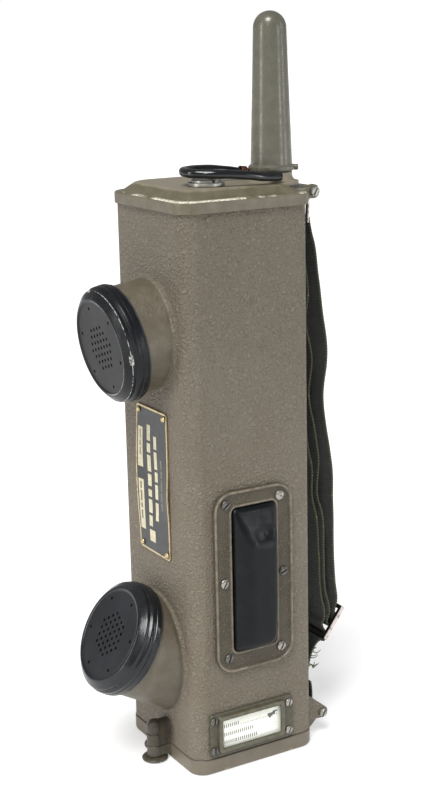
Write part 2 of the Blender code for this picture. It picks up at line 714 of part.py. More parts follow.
def bezel_screw_places():
    """Positions (y, z) and slot angles of the six bezel screws."""
    places = []
    for dy, dz, turn in ((-16.6, 43.2, 40), (16.0, 43.0, -45), (-18.1, 0.6, 60), (18.1, 0.6, 20),
                         (-16.4, -41.6, 70), (16.2, -41.8, 60)):
        places.append((PTT_Y + dy, PTT_Z + dz, turn))
    return places


def make_bezel():
    face = CASE_W / 2 + GAP
    mid = (PTT_Y, PTT_Z)
    hole = (PTT_Y, PTT_Z + 1.0)
    rings = [side_ring(BEZEL_W, BEZEL_H, 10.5, mid, face),
             side_ring(BEZEL_W, BEZEL_H, 10.5, mid, face + 1.8),
             side_ring(BEZEL_W - 1.0, BEZEL_H - 1.0, 10.0, mid, face + 2.4),
             side_ring(BEZEL_W - 2.4, BEZEL_H - 2.4, 9.3, mid, face + 2.4),
             side_ring(BEZEL_W - 3.6, BEZEL_H - 3.6, 8.8, mid, face + 1.5),
             side_ring(OPENING_W + 4.0, OPENING_H + 4.0, 4.6, hole, face + 1.5),
             side_ring(OPENING_W + 3.0, OPENING_H + 3.0, 4.2, hole, face + 2.1),
             side_ring(OPENING_W + 1.0, OPENING_H + 1.0, 3.2, hole, face + 2.1),
             side_ring(OPENING_W, OPENING_H, 2.8, hole, face + 1.6),
             side_ring(OPENING_W, OPENING_H, 2.8, hole, face)]
    bezel = solid("ptt_bezel", lofted(rings, closed=True), olive_paint())
    cuts = [cylinder(SCREW_HOLE_R, face - 1, face + 4, along_x(y, z), 8) for y, z, _ in bezel_screw_places()]
    shape_with(bezel, "DIFFERENCE", cuts)
    for i, (y, z, turn) in enumerate(bezel_screw_places()):
        place = along_x(y, z) @ at(0, 0, face + 1.5 + GAP)
        slotted_screw(f"ptt_bezel_screw_{i + 1}", place, 2.45, 1.3, SCREW_SHANK_R, 5.2, turn)


def make_boot():
    hole = (PTT_Y, PTT_Z + 1.0)
    width = OPENING_W - 0.8
    height = OPENING_H - 0.8
    origin = (CASE_W / 2, *hole)
    rings = [side_ring(width - 6.0, height - 6.0, 2.0, hole, 37.0),
             side_ring(width, height, 2.4, hole, 37.0),
             side_ring(width, height, 2.4, hole, 41.2),
             side_ring(width - 1.6, height - 5.0, 3.0, (hole[0], hole[1] - 1.6), 43.0),
             side_ring(width - 5.0, height - 18.0, 4.5, (hole[0] + 0.4, hole[1] - 7.0), 47.0),
             side_ring(width - 9.0, height - 25.0, 5.0, (hole[0] + 0.6, hole[1] - 8.0), 48.2)]
    solid("ptt_boot", lofted(rings), black_rubber(), origin)
    profile = ((0, 36.7), (3.4, 36.7), (3.4, 35.4), (1.6, 35.0), (1.6, 29.2), (0, 28.6))
    solid("ptt_plunger", turned(profile, 16, along_x(-5.0, 108.0)), brass(), origin)


def make_switch_block():
    block = solid("ptt_switch_block", soft_box((13.5, -12.0, 92.0), (25.6, 2.0, 124.0), 0.8, 1), board())
    blades = [box((15.0 + 3.2 * i, -9.0, 123.0), (15.6 + 3.2 * i, -1.0, 134.0)) for i in range(3)]
    return shape_with(block, "UNION", blades)


# ---------------------------------------------------------------- label frame

def label_ring(low, high, radius, level):
    centre = ((low[0] + high[0]) / 2, (low[1] + high[1]) / 2)
    return side_ring(high[0] - low[0], high[1] - low[1], radius, centre, level)


def label_screw_places():
    """Positions (y, z) and slot angles of the four label frame screws."""
    return [(-27.5, 31.2, 80), (19.4, 30.4, 75), (-27.5, 14.2, 90), (19.4, 14.2, 60)]


def make_label():
    face = CASE_W / 2 + GAP
    view_low = (LABEL_VIEW_Y[0], LABEL_VIEW_Z[0])
    view_high = (LABEL_VIEW_Y[1], LABEL_VIEW_Z[1])

    def around_view(margin, radius, level):
        low = (view_low[0] - margin, view_low[1] - margin)
        high = (view_high[0] + margin, view_high[1] + margin)
        return label_ring(low, high, radius, level)

    rings = [label_ring(LABEL_LOW, LABEL_HIGH, 2.4, face), label_ring(LABEL_LOW, LABEL_HIGH, 2.4, face + 1.2),
             around_view(2.7, 2.0, face + 1.2), around_view(2.5, 1.9, face + 2.6), around_view(2.0, 1.6, face + 3.0),
             around_view(0.9, 0.9, face + 3.0), around_view(0.0, 0.4, face + 2.4), around_view(0.0, 0.4, face + 1.9),
             around_view(1.4, 0.8, face + 1.9), around_view(1.4, 0.8, face)]
    frame = solid("label_frame", lofted(rings, closed=True), olive_paint())
    cuts = [cylinder(SCREW_HOLE_R, face - 1, face + 4, along_x(y, z), 8) for y, z, _ in label_screw_places()]
    shape_with(frame, "DIFFERENCE", cuts)
    for i, (y, z, turn) in enumerate(label_screw_places()):
        place = along_x(y, z) @ at(0, 0, face + 1.2 + GAP)
        slotted_screw(f"label_screw_{i + 1}", place, 2.1, 1.2, SCREW_SHANK_R, 4.4, turn)
    sheet = rounded_rectangle(view_high[0] - view_low[0] + 2.0, view_high[1] - view_low[1] + 2.0, 0.6,
                              ((view_low[0] + view_high[0]) / 2, (view_low[1] + view_high[1]) / 2), 2)
    solid("label_card", prism(sheet, face, face + 0.4, SIDE), card())
    solid("label_window", prism(sheet, face + 0.7, face + 1.5, SIDE), clear_sheet())


# ---------------------------------------------------------------- strap

def cross_pin(name, pin, end, origin):
    """A headed cross pin along X with a screwdriver slot in its +X end."""
    profile = ((0, -end - 1.8), (2.0, -end - 1.6), (2.4, -end), (PIN_R, -end), (PIN_R, end), (2.5, end),
               (2.5, end + 1.2), (1.9, end + 1.8), (0, end + 1.8))
    body = solid(name, turned(profile, 12, along_x(*pin)), steel(), origin)
    slot = box((end + 0.9, pin[0] - 0.5, pin[1] - 4), (end + 3, pin[0] + 0.5, pin[1] + 4))
    return shape_with(body, "DIFFERENCE", [slot])


def make_top_link():
    link = solid("strap_top_link", tube(3.0, PIN_HOLE_R, -18.2, 18.2, along_x(*TOP_PIN), 18), steel())
    outline = ((48.9, 302.1), (50.1, 302.1), (49.5, 287.5), (48.3, 287.5))
    shape_with(link, "UNION", [prism(outline[::-1], -18.2, 18.2, SIDE)])
    return shape_with(link, "DIFFERENCE", [box((-16.0, 45.0, 289.9), (16.0, 53.0, 298.6))])


def buckle_point(down, out):
    return Vector((BUCKLE_MID[0] + BUCKLE_DOWN[0] * down + BUCKLE_OUT[0] * out,
                   BUCKLE_MID[1] + BUCKLE_DOWN[1] * down + BUCKLE_OUT[1] * out))


def make_buckle():
    """A three-bar slide: a rectangular frame with a bar across its middle."""
    place = Matrix(((0, 0, 1, 0),
                    (BUCKLE_DOWN[0], BUCKLE_OUT[0], 0, BUCKLE_MID[0]),
                    (BUCKLE_DOWN[1], BUCKLE_OUT[1], 0, BUCKLE_MID[1]),
                    (0, 0, 0, 1)))
    body = soft_box((-10.6, -1.2, -18.6), (10.6, 1.2, 18.6), 0.5, 1)
    bmesh.ops.transform(body, matrix=place, verts=body.verts)
    buckle = solid("strap_buckle", body, steel())
    slots = []
    for low, high in ((-8.2, -1.2), (1.2, 8.2)):
        slot = box((low, -3.0, -16.2), (high, 3.0, 16.2))
        bmesh.ops.transform(slot, matrix=place, verts=slot.verts)
        slots.append(slot)
    return shape_with(buckle, "DIFFERENCE", slots)


def make_straps():
    eye = STRAP_T / 2 + 0.4
    long_route = [(46.2, 281.5), (46.1, 285.0)] + arc(LINK_BAR, 1.35 + eye, 180, -10, 7)
    long_route += [(53.0, 281.0), (55.0, 273.0), (57.2, 255.5), (58.8, 239.8), (61.3, 221.9), (61.6, 209.9),
                   (59.6, 193.3), (62.0, 174.7), (64.9, 160.2), (66.5, 146.7), (66.3, 130.0), (66.1, 114.2),
                   (66.3, 95.7), (67.2, 83.0), (68.4, 73.0)]
    long_route += [tuple(buckle_point(d, o)) for d, o in
                   ((-9.6, -3.0), (-6.6, -2.1), (-4.4, 0.0), (-2.1, 2.0), (0.0, 2.75), (1.95, 1.9), (2.7, 0.0),
                    (1.9, -1.9), (0.2, -3.0), (-4.0, -4.3))]
    long_route += [(62.8, 70.0), (61.0, 77.0), (60.0, 86.0), (59.4, 102.4), (58.7, 122.1), (55.2, 137.0),
                   (56.7, 154.7), (55.5, 165.2), (54.0, 175.5), (51.0, 193.6), (53.6, 212.9), (49.6, 234.1),
                   (50.6, 250.4), (48.2, 268.0), (47.6, 274.0)]
    solid("strap_long", ribbon(smooth_path([Vector(p) for p in long_route], 2), STRAP_T, STRAP_HALF), webbing())
    short_route = [(50.3, 25.0), (50.9, 19.0)] + arc(HINGE_PIN, PIN_R + eye, 5, -185, 8)
    short_route += [(46.6, 22.0), (48.1, 31.0), (49.8, 39.0), (52.0, 44.6), (54.3, 47.8)]
    short_route += [tuple(buckle_point(d, o)) for d, o in
                    ((12.2, -0.4), (11.5, 2.0), (9.4, 2.95), (7.3, 2.1), (6.35, 0.0), (5.6, -2.3), (3.7, -4.8),
                     (0.0, -5.6))]
    short_route += [(59.6, 68.0), (58.1, 74.5), (56.9, 86.0), (56.5, 98.5), (54.6, 120.8), (51.2, 136.4),
                    (51.6, 152.2), (49.4, 164.0), (48.4, 177.0), (47.8, 192.0), (48.2, 206.0), (46.5, 220.0),
                    (45.8, 232.0)]
    solid("strap_short", ribbon(smooth_path([Vector(p) for p in short_route], 2), STRAP_T, STRAP_HALF), webbing())


# ---------------------------------------------------------------- inside the case

def make_chassis():
    """Bent sheet frame with three shelves that carry the valves and coils."""
    plate = solid("chassis_frame", box((-34.0, -1.2, 82.0), (11.0, 0.0, 296.0)), aluminium())
    shelves = [box((-34.0, -30.0, z), (11.0, -0.6, z + 1.2)) for z in (104.0, 158.0, 262.0)]
    return shape_with(plate, "UNION", shelves)


def make_valves():
    profile = ((0, 38.0), (2.0, 37.6), (5.0, 36.0), (8.4, 33.0), (9.2, 30.0), (9.2, 9.0), (10.2, 8.4),
               (10.2, 0.0), (0, 0.0))
    for i, (x, shelf) in enumerate(((-22, 104.0), (-1, 104.0), (-22, 158.0), (-1, 158.0))):
        place = at(x, -14.0, shelf + 1.2 + GAP)
        solid(f"valve_{i + 1}", turned(profile, 12, place), glass(), (x, -14.0, shelf))


def make_components():
    coil = ((0, 34.0), (9.0, 34.0), (9.0, 31.0), (11.0, 30.0), (11.0, 4.0), (9.0, 3.0), (9.0, 0), (0, 0))
    coil_place = at(-20.0, -15.0, 263.2 + GAP)
    solid("tank_coil", turned(coil, 12, coil_place), board(), (-20.0, -15.0, 263.5))
    solid("battery_b", soft_box((-34.0, 3.0, 12.0), (-3.0, 34.0, 270.0), 1.2, 1), battery_wrap())
    cell = ((0, 76.0), (4.0, 76.0), (4.0, 74.0), (15.2, 74.0), (15.8, 73.0), (15.8, 13.0), (15.2, 12.0), (0, 12.0))
    solid("battery_a", turned(cell, 18, at(18.2, 18.2)), battery_wrap(), (18.2, 18.2, 12.0))


def main():
    for obj in list(bpy.data.objects):
        bpy.data.objects.remove(obj, do_unlink=True)
    hinge = (0.0, *HINGE_PIN)
    make_case()
    make_bottom_cover(hinge)
    make_bottom_gasket(hinge)
    make_contact_strip(hinge)
    make_latch_screw()
    make_latch_pin(hinge)
    make_top_cover()
    make_top_gasket()
    make_top_plug()
    make_aerial_cap()
    make_aerial()
    make_retaining_loop()
    make_loop_tie()
    make_receiver("earpiece", EAR_RIM, EAR_TILT, EAR_HOLE_TURN)
    make_receiver("mouthpiece", MOUTH_RIM, MOUTH_TILT, MOUTH_HOLE_TURN)
    make_nameplate()
    make_bezel()
    make_boot()
    make_switch_block()
    make_label()
    cross_pin("strap_pin", TOP_PIN, 22.8, (0.0, *TOP_PIN))
    cross_pin("hinge_pin", HINGE_PIN, 30.3, hinge)
    make_top_link()
    make_buckle()
    make_straps()
    make_chassis()
    make_valves()
    make_components()


main()
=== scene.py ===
import math
import random

import bmesh
import bpy
from mathutils import Matrix, Vector, noise


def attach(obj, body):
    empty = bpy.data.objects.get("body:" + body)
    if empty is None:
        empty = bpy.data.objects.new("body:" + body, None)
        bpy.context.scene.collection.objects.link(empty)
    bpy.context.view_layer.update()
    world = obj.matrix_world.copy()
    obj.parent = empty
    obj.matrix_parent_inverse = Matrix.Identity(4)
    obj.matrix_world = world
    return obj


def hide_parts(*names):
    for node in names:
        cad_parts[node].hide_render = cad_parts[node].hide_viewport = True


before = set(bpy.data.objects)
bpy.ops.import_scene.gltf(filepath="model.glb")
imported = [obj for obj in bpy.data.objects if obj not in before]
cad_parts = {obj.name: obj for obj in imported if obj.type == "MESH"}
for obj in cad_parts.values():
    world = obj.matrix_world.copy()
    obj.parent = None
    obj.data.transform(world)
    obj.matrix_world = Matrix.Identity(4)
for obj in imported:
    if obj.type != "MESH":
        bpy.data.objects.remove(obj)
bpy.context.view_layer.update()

# Visual model of a handheld radio transceiver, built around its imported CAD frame.
# Shapes below are in millimetres and turned into metres when a piece is made.
# +Z up, earpiece side -Y, press-to-talk side +X, strap side +Y.

MM = 0.001
GAP = 0.3

CASE_W, CASE_D, CASE_R, CASE_WALL = 76.5, 75.1, 8.4, 2.0
CASE_BOTTOM, CASE_TOP = 9.3, 304.3
FRONT_Y = -CASE_D / 2
SIDE_X = CASE_W / 2
CORNER_STEPS = 12

COVER_OVERHANG, COVER_TOP, COVER_WALL = 0.4, 9.0, 2.2
LID_OVERHANG, LID_RIM_LOW, LID_RIM_HIGH, LID_TOP, LID_SEAT = 1.4, 300.0, 306.3, 311.1, 305.6

AERIAL = (18.0, 26.5)
NECK_R, NECK_TOP = 10.7, 316.0
CAP_BOTTOM, CAP_TOP, CAP_TOP_R, CAP_BEAD_R = 316.4, 396.0, 8.4, 11.9

EAR_RIM, EAR_TILT, EAR_HOLE_TURN = (-54.6, 233.25), -8.85, 18.0
MOUTH_RIM, MOUTH_TILT, MOUTH_HOLE_TURN = (-57.6, 71.03), 29.57, 38.0
POT_R, SPIGOT_R, BORE_R, POT_FILLET = 28.6, 27.8, 24.0, 2.6
HOLE_PITCH, HOLE_R, HOLE_RINGS = 3.85, 0.9, 3
OUTER_HOLE_RADIUS, OUTER_HOLE_R = 20.7, 1.1

PTT = (-1.2, 106.6)
BEZEL_W, BEZEL_H, OPENING_W, OPENING_H = 47.5, 99.8, 26.6, 79.4
OPENING_MID = (PTT[0], PTT[1] + 1.0)
BEZEL_SCREWS = ((-17.8, 149.8, 40), (14.8, 149.6, -45), (-19.3, 107.2, 60), (16.9, 107.2, 20),
                (-17.6, 65.0, 70), (15.0, 64.8, 60))

LABEL_LOW, LABEL_HIGH = (-29.8, 10.3), (22.3, 35.0)
VIEW_LOW, VIEW_HIGH = (-22.4, 15.0), (13.7, 30.6)
LABEL_SCREWS = ((-27.5, 31.2, 80), (19.4, 30.4, 75), (-27.5, 14.2, 90), (19.4, 14.2, 60))

PLATE_LOW, PLATE_HIGH = (-16.2, 116.0), (16.8, 195.8)
RIVET_INSET = 2.8

TOP_PIN, HINGE_PIN = (49.5, 304.3), (48.0, 13.2)
PIN_R, PIN_HOLE_R = 1.5, 1.9
STRAP_HALF, STRAP_T = 15.5, 1.8
LINK_BAR = (48.9, 288.7)
BUCKLE_MID, BUCKLE_DOWN, BUCKLE_OUT = (64.5, 58.7), (-0.6, -0.8), (0.8, -0.6)

LATCH = (5.3, -45.4)
LATCH_BOSS_R = 4.3
LOOP_R, LOOP_PIVOT_Y, LOOP_PIVOT_Z = 2.3, 21.5, 314.5
PLUG = (17.0, -11.8)
PLUG_R = 9.4

SIDE = Matrix(((0, 0, 1, 0), (1, 0, 0, 0), (0, 1, 0, 0), (0, 0, 0, 1)))
FRONT = Matrix(((1, 0, 0, 0), (0, 0, -1, 0), (0, 1, 0, 0), (0, 0, 0, 1)))


# ---------------------------------------------------------------- camera, light, floor

CAMERA_AT = Vector((0.67832, -0.38995, 0.39247))
CAMERA_AZIMUTH, CAMERA_ELEVATION, CAMERA_ROLL = (math.radians(a) for a in (59.35, 13.88, -1.11))
CAMERA_LENS = 67.98
CAMERA_SHIFT = (-0.0132, -0.0105)
AIM = Vector((0.0, 0.0, 0.18))
WORLD_LIGHT = 0.32
WHITE = (1.0, 1.0, 1.0)
SUN_POWER, SUN_SPREAD, SUN_FROM = 3.3, math.radians(28), (0.34, -0.40, 0.85)
SOFTBOXES = (("key", (-0.05, -1.5, 0.6), (0.28, 1.3), 8.0, (1.0, 0.985, 0.96)),
             ("rim", (0.85, 1.36, 0.5), (0.12, 1.3), 4.0, (0.96, 0.98, 1.0)),
             ("side", (1.4, 0.75, 0.3), (0.12, 0.9), 4.0, (0.94, 0.97, 1.0)),
             ("glint", (0.95, -0.95, 1.0), (0.06, 0.4), 1.6, WHITE))
FLOOR_HALF, FLOOR_TONE, FLOOR_GLOW = 15.0, (0.60, 0.60, 0.60), 0.5


def make_camera():
    back = Vector((math.sin(CAMERA_AZIMUTH) * math.cos(CAMERA_ELEVATION),
                   -math.cos(CAMERA_AZIMUTH) * math.cos(CAMERA_ELEVATION), math.sin(CAMERA_ELEVATION)))
    right = Vector((math.cos(CAMERA_AZIMUTH), math.sin(CAMERA_AZIMUTH), 0.0))
    up = back.cross(right)
    c, s = math.cos(CAMERA_ROLL), math.sin(CAMERA_ROLL)
    x_axis, y_axis = right * c + up * s, up * c - right * s
    camera = bpy.data.objects.new("camera", bpy.data.cameras.new("camera"))
    camera.matrix_world = Matrix.Translation(CAMERA_AT) @ Matrix((x_axis, y_axis, back)).transposed().to_4x4()
    camera.data.lens = CAMERA_LENS
    camera.data.shift_x, camera.data.shift_y = CAMERA_SHIFT
    camera.data.clip_start = 0.05
    bpy.context.scene.collection.objects.link(camera)
    bpy.context.scene.camera = camera


def softbox(name, place, size, power, colour):
    lamp = bpy.data.lights.new(name, "AREA")
    lamp.shape = "RECTANGLE"
    lamp.size, lamp.size_y = size
    lamp.energy = power
    lamp.color = colour
    obj = bpy.data.objects.new(name, lamp)
    obj.location = place
    obj.rotation_euler = (Vector(place) - AIM).to_track_quat("Z", "Y").to_euler()
    bpy.context.scene.collection.objects.link(obj)


def make_world(scene):
    """White backdrop for the camera, dimmer soft light for everything else."""
    scene.world = bpy.data.worlds.new("studio")
    scene.world.use_nodes = True
    tree = scene.world.node_tree
    light = tree.nodes["Background"]
    light.inputs["Color"].default_value = (*WHITE, 1.0)
    light.inputs["Strength"].default_value = WORLD_LIGHT
    seen = tree.nodes.new("ShaderNodeBackground")
    seen.inputs["Color"].default_value = (*WHITE, 1.0)
    choose = tree.nodes.new("ShaderNodeMixShader")
    tree.links.new(tree.nodes.new("ShaderNodeLightPath").outputs["Is Camera Ray"], choose.inputs[0])
    tree.links.new(light.outputs[0], choose.inputs[1])
    tree.links.new(seen.outputs[0], choose.inputs[2])
    tree.links.new(choose.outputs[0], tree.nodes["World Output"].inputs["Surface"])


def make_studio():
    scene = bpy.context.scene
    scene.view_settings.view_transform = "Standard"
    make_world(scene)
    lamp = bpy.data.lights.new("overhead", "SUN")
    lamp.energy, lamp.angle = SUN_POWER, SUN_SPREAD
    sky = bpy.data.objects.new("overhead", lamp)
    sky.rotation_euler = Vector(SUN_FROM).to_track_quat("Z", "Y").to_euler()
    scene.collection.objects.link(sky)
    for lamp_row in SOFTBOXES:
        softbox(*lamp_row)
    bm = bmesh.new()
    bmesh.ops.create_grid(bm, x_segments=4, y_segments=4, size=FLOOR_HALF)
    mesh = bpy.data.meshes.new("floor")
    bm.to_mesh(mesh)
    bm.free()
    floor = bpy.data.objects.new("floor", mesh)
    scene.collection.objects.link(floor)
    m = Nodes("floor_sheet", roughness=0.9, emission_strength=FLOOR_GLOW)
    m.colour(FLOOR_TONE)
    mesh.materials.append(m.material)


# ---------------------------------------------------------------- node materials

class Nodes:
    """Builds one procedural material on a Principled shader, from object coordinates in metres."""

    def __init__(self, name, **constants):
        self.material = bpy.data.materials.new(name)
        self.material.use_nodes = True
        self.tree = self.material.node_tree
        self.shader = self.tree.nodes["Principled BSDF"]
        for key, value in constants.items():
            self.shader.inputs[key.replace("_", " ").title().replace("Ior", "IOR")].default_value = value
        self.place = self.tree.nodes.new("ShaderNodeTexCoord").outputs["Object"]

    def put(self, socket, value):
        if isinstance(value, bpy.types.NodeSocket):
            self.tree.links.new(value, socket)
        elif isinstance(value, tuple) and len(value) == 3 and socket.type == "RGBA":
            socket.default_value = (*value, 1.0)
        else:
            socket.default_value = value

    def node(self, kind, inputs, **settings):
        made = self.tree.nodes.new(kind)
        for key, value in settings.items():
            setattr(made, key, value)
        for key, value in inputs.items():
            self.put(made.inputs[key], value)
        return made

    def noise(self, size, detail=2.0, roughness=0.5, at=None, output="Fac"):
        """Noise whose blotches are about size millimetres across."""
        made = self.node("ShaderNodeTexNoise", {"Vector": at or self.place, "Scale": 1.0 / (size * MM),
                                                "Detail": detail, "Roughness": roughness})
        return made.outputs[output]

    def cells(self, size, at):
        """Distance to the edges of cells about size millimetres across."""
        made = self.node("ShaderNodeTexVoronoi", {"Vector": at, "Scale": 1.0 / (size * MM)},
                         feature="DISTANCE_TO_EDGE")
        return made.outputs["Distance"]

    def shaken(self, size, amount):
        """Object coordinates pushed about by noise, amount in millimetres."""
        push = self.noise(size, 1.0, output="Color")
        centred = self.node("ShaderNodeVectorMath", {0: push, 1: (0.5, 0.5, 0.5)}, operation="SUBTRACT")
        scaled = self.node("ShaderNodeVectorMath", {0: centred.outputs[0], "Scale": amount * MM * 2},
                           operation="SCALE")
        moved = self.node("ShaderNodeVectorMath", {0: self.place, 1: scaled.outputs[0]}, operation="ADD")
        return moved.outputs[0]

    def stretched(self, x, y, z):
        """Object coordinates with each axis scaled."""
        made = self.node("ShaderNodeVectorMath", {0: self.place, 1: (x, y, z)}, operation="MULTIPLY")
        return made.outputs[0]

    def maths(self, operation, a, b=0.5, c=0.5):
        made = self.node("ShaderNodeMath", {0: a, 1: b, 2: c}, operation=operation)
        return made.outputs[0]

    def times(self, a, b):
        return self.maths("MULTIPLY", a, b)

    def span(self, value, low, high, to_low=0.0, to_high=1.0):
        """Smooth step of value from low to high."""
        made = self.node("ShaderNodeMapRange", {"Value": value, "From Min": low, "From Max": high,
                                                "To Min": to_low, "To Max": to_high},
                         interpolation_type="SMOOTHSTEP")
        return made.outputs[0]

    def band(self, value, low, high, soft):
        """1 between low and high, falling to 0 over soft on either side."""
        return self.times(self.span(value, low - soft, low), self.span(value, high + soft, high))

    def mix(self, fac, a, b):
        made = self.node("ShaderNodeMix", {}, data_type="RGBA")
        self.put(made.inputs[0], fac)
        self.put(made.inputs[6], a)
        self.put(made.inputs[7], b)
        return made.outputs[2]

    def axis(self, name):
        split = self.node("ShaderNodeSeparateXYZ", {0: self.place})
        return split.outputs[name]

    def near(self, point, reach):
        """1 close to a point in millimetres, 0 beyond reach."""
        away = self.node("ShaderNodeVectorMath", {0: self.place, 1: tuple(c * MM for c in point)},
                         operation="DISTANCE").outputs["Value"]
        return self.span(away, reach * MM, reach * 0.55 * MM)

    def radius(self):
        """Distance from the object's own Z axis."""
        flat = self.stretched(1.0, 1.0, 0.0)
        return self.node("ShaderNodeVectorMath", {0: flat}, operation="LENGTH").outputs["Value"]

    def colour(self, value):
        self.put(self.shader.inputs["Base Color"], value)

    def rough(self, value):
        self.put(self.shader.inputs["Roughness"], value)

    def bump(self, height, depth):
        """Height from 0 to 1 raises the surface by depth millimetres."""
        made = self.node("ShaderNodeBump", {"Height": height, "Distance": depth * MM, "Strength": 1.0})
        self.tree.links.new(made.outputs[0], self.shader.inputs["Normal"])


OLIVE = (0.168, 0.140, 0.103)
# Lighter olive: real dust on smooth paint, and a painted highlight on wrinkle peaks. Darker olive: painted
# shade in wrinkle hollows.
OLIVE_DUST_AND_HIGHLIGHT = (0.215, 0.183, 0.137)
OLIVE_HOLLOW_SHADE = (0.085, 0.070, 0.046)
OLIVE_SMOOTH = (0.178, 0.158, 0.110)
BRONZE = (0.086, 0.070, 0.044)


def crackle(m, size=2.5):
    """Pebbled wrinkle finish: height from 0 to 1."""
    pebbles = m.span(m.cells(size, m.shaken(size * 0.9, size * 0.75)), 0.0, 0.42)
    grain = m.noise(size * 0.45, 4.0, 0.65)
    return m.maths("MULTIPLY_ADD", pebbles, 0.45, m.times(grain, 0.7)), pebbles


def case_paint():
    """Wrinkle paint on the flats, smoother on the drawn pots and the latch boss."""
    m = Nodes("case_paint", specular_ior_level=0.42)
    height, pebbles = crackle(m)
    y, z = m.axis("Y"), m.axis("Z")
    pot = m.span(y, (FRONT_Y - 0.6) * MM, (FRONT_Y - 2.4) * MM)
    cloud = m.noise(38.0, 3.0, 0.55)
    base = m.mix(m.span(cloud, 0.3, 0.7), OLIVE, (0.182, 0.155, 0.117))
    # Painted shade darkens the wrinkle hollows, and a painted highlight lightens the wrinkle peaks.
    hollow_shade = m.times(m.span(height, 0.62, 0.25), 0.34)
    peak_highlight = m.times(m.span(height, 0.68, 0.95), 0.22)
    wrinkled = m.mix(peak_highlight, m.mix(hollow_shade, base, OLIVE_HOLLOW_SHADE), OLIVE_DUST_AND_HIGHLIGHT)
    smooth = m.mix(m.span(m.noise(9.0, 4.0, 0.6), 0.35, 0.7), (0.090, 0.076, 0.051), (0.124, 0.105, 0.075))
    # Painted shade darkens the foot of the lower (mouthpiece) pot, where it meets the front wall.
    foot = m.times(m.span(y, (FRONT_Y - 4.5) * MM, (FRONT_Y - 1.5) * MM), m.span(z, 110.0 * MM, 90.0 * MM))
    smooth = m.mix(m.times(foot, 0.55), smooth, (0.035, 0.029, 0.018))
    # A thin painted highlight, broken up by noise, along the foot lip of the upper (earpiece) pot on its +X
    # side.
    ring = m.times(m.band(y, (FRONT_Y - 1.75) * MM, (FRONT_Y - 1.55) * MM, 0.25 * MM),
                   m.span(z, 216.0 * MM, 232.0 * MM))
    lip_highlight = m.times(m.times(ring, m.span(m.axis("X"), 6.0 * MM, 16.0 * MM)),
                     m.span(m.noise(14.0, 2.0), 0.36, 0.55))
    smooth = m.mix(m.times(lip_highlight, 0.6), smooth, (0.34, 0.30, 0.20))
    latch = m.times(m.near((*LATCH, 16.0), 14.0), 0.8)
    m.colour(m.mix(latch, m.mix(pot, wrinkled, smooth), (0.036, 0.031, 0.021)))
    m.rough(m.mix(pot, m.span(pebbles, 0.0, 1.0, 0.62, 0.42), (0.43, 0.43, 0.43)))
    soft = m.maths("MULTIPLY_ADD", m.noise(1.6, 3.0, 0.6), 0.22, 0.35)
    blend = m.node("ShaderNodeMix", {}, data_type="FLOAT")
    m.put(blend.inputs[0], pot)
    m.put(blend.inputs[2], height)
    m.put(blend.inputs[3], soft)
    fresh = m.span(z, 120.0 * MM, 270.0 * MM, 1.0, 1.8)
    m.bump(m.times(blend.outputs[0], fresh), 1.15)
    return m.material


def lid_paint():
    """Smoother, greener paint on the top casting, rubbed to bare metal along its rim."""
    m = Nodes("lid_paint", specular_ior_level=0.5)
    z = m.axis("Z")
    blotch = m.noise(7.0, 4.0, 0.6)
    base = m.mix(m.span(blotch, 0.35, 0.7), (0.088, 0.077, 0.047), (0.120, 0.104, 0.069))
    flat = m.span(z, (LID_TOP - 1.2) * MM, LID_TOP * MM)
    base = m.mix(flat, base, (0.198, 0.170, 0.121))
    near = m.maths("SUBTRACT", m.axis("X"), m.axis("Y"))
    corner = m.span(near, 0.030, 0.070, 0.0, 0.20)
    patches = m.span(m.maths("ADD", m.noise(17.0, 5.0, 0.7), corner), 0.47, 0.62)
    edge = m.band(z, (LID_RIM_HIGH - 0.45) * MM, (LID_RIM_HIGH + 0.02) * MM, 0.22 * MM)
    high = m.band(z, (LID_TOP - 0.9) * MM, (LID_TOP - 0.2) * MM, 0.5 * MM)
    bare = m.times(edge, patches)
    rubbed = m.times(high, m.span(m.noise(6.0, 3.0), 0.45, 0.65))
    worn = m.mix(m.span(m.noise(1.2, 2.0), 0.4, 0.6), (0.38, 0.35, 0.25), (0.74, 0.71, 0.62))
    m.colour(m.mix(m.times(rubbed, 0.30), m.mix(bare, base, worn), (0.26, 0.23, 0.16)))
    m.rough(m.mix(bare, (0.42, 0.42, 0.42), (0.25, 0.25, 0.25)))
    m.bump(m.maths("ADD", m.noise(2.4, 3.0, 0.6), m.times(bare, -0.5)), 0.16)
    return m.material


def smooth_paint(name, base=OLIVE_SMOOTH, shade=(0.140, 0.122, 0.084), rough=0.36, blotch=6.0, grain=0.05):
    """Plain sprayed olive paint with slight mottling."""
    m = Nodes(name, specular_ior_level=0.5)
    patches = m.span(m.noise(blotch, 4.0, 0.62), 0.35, 0.68)
    dust = m.span(m.noise(0.9, 3.0, 0.6), 0.62, 0.75)
    m.colour(m.mix(m.times(dust, 0.25), m.mix(patches, shade, base), OLIVE_DUST_AND_HIGHLIGHT))
    m.rough(m.span(patches, 0.0, 1.0, rough + 0.1, rough))
    m.bump(m.noise(1.3, 3.0, 0.55), grain)
    return m.material


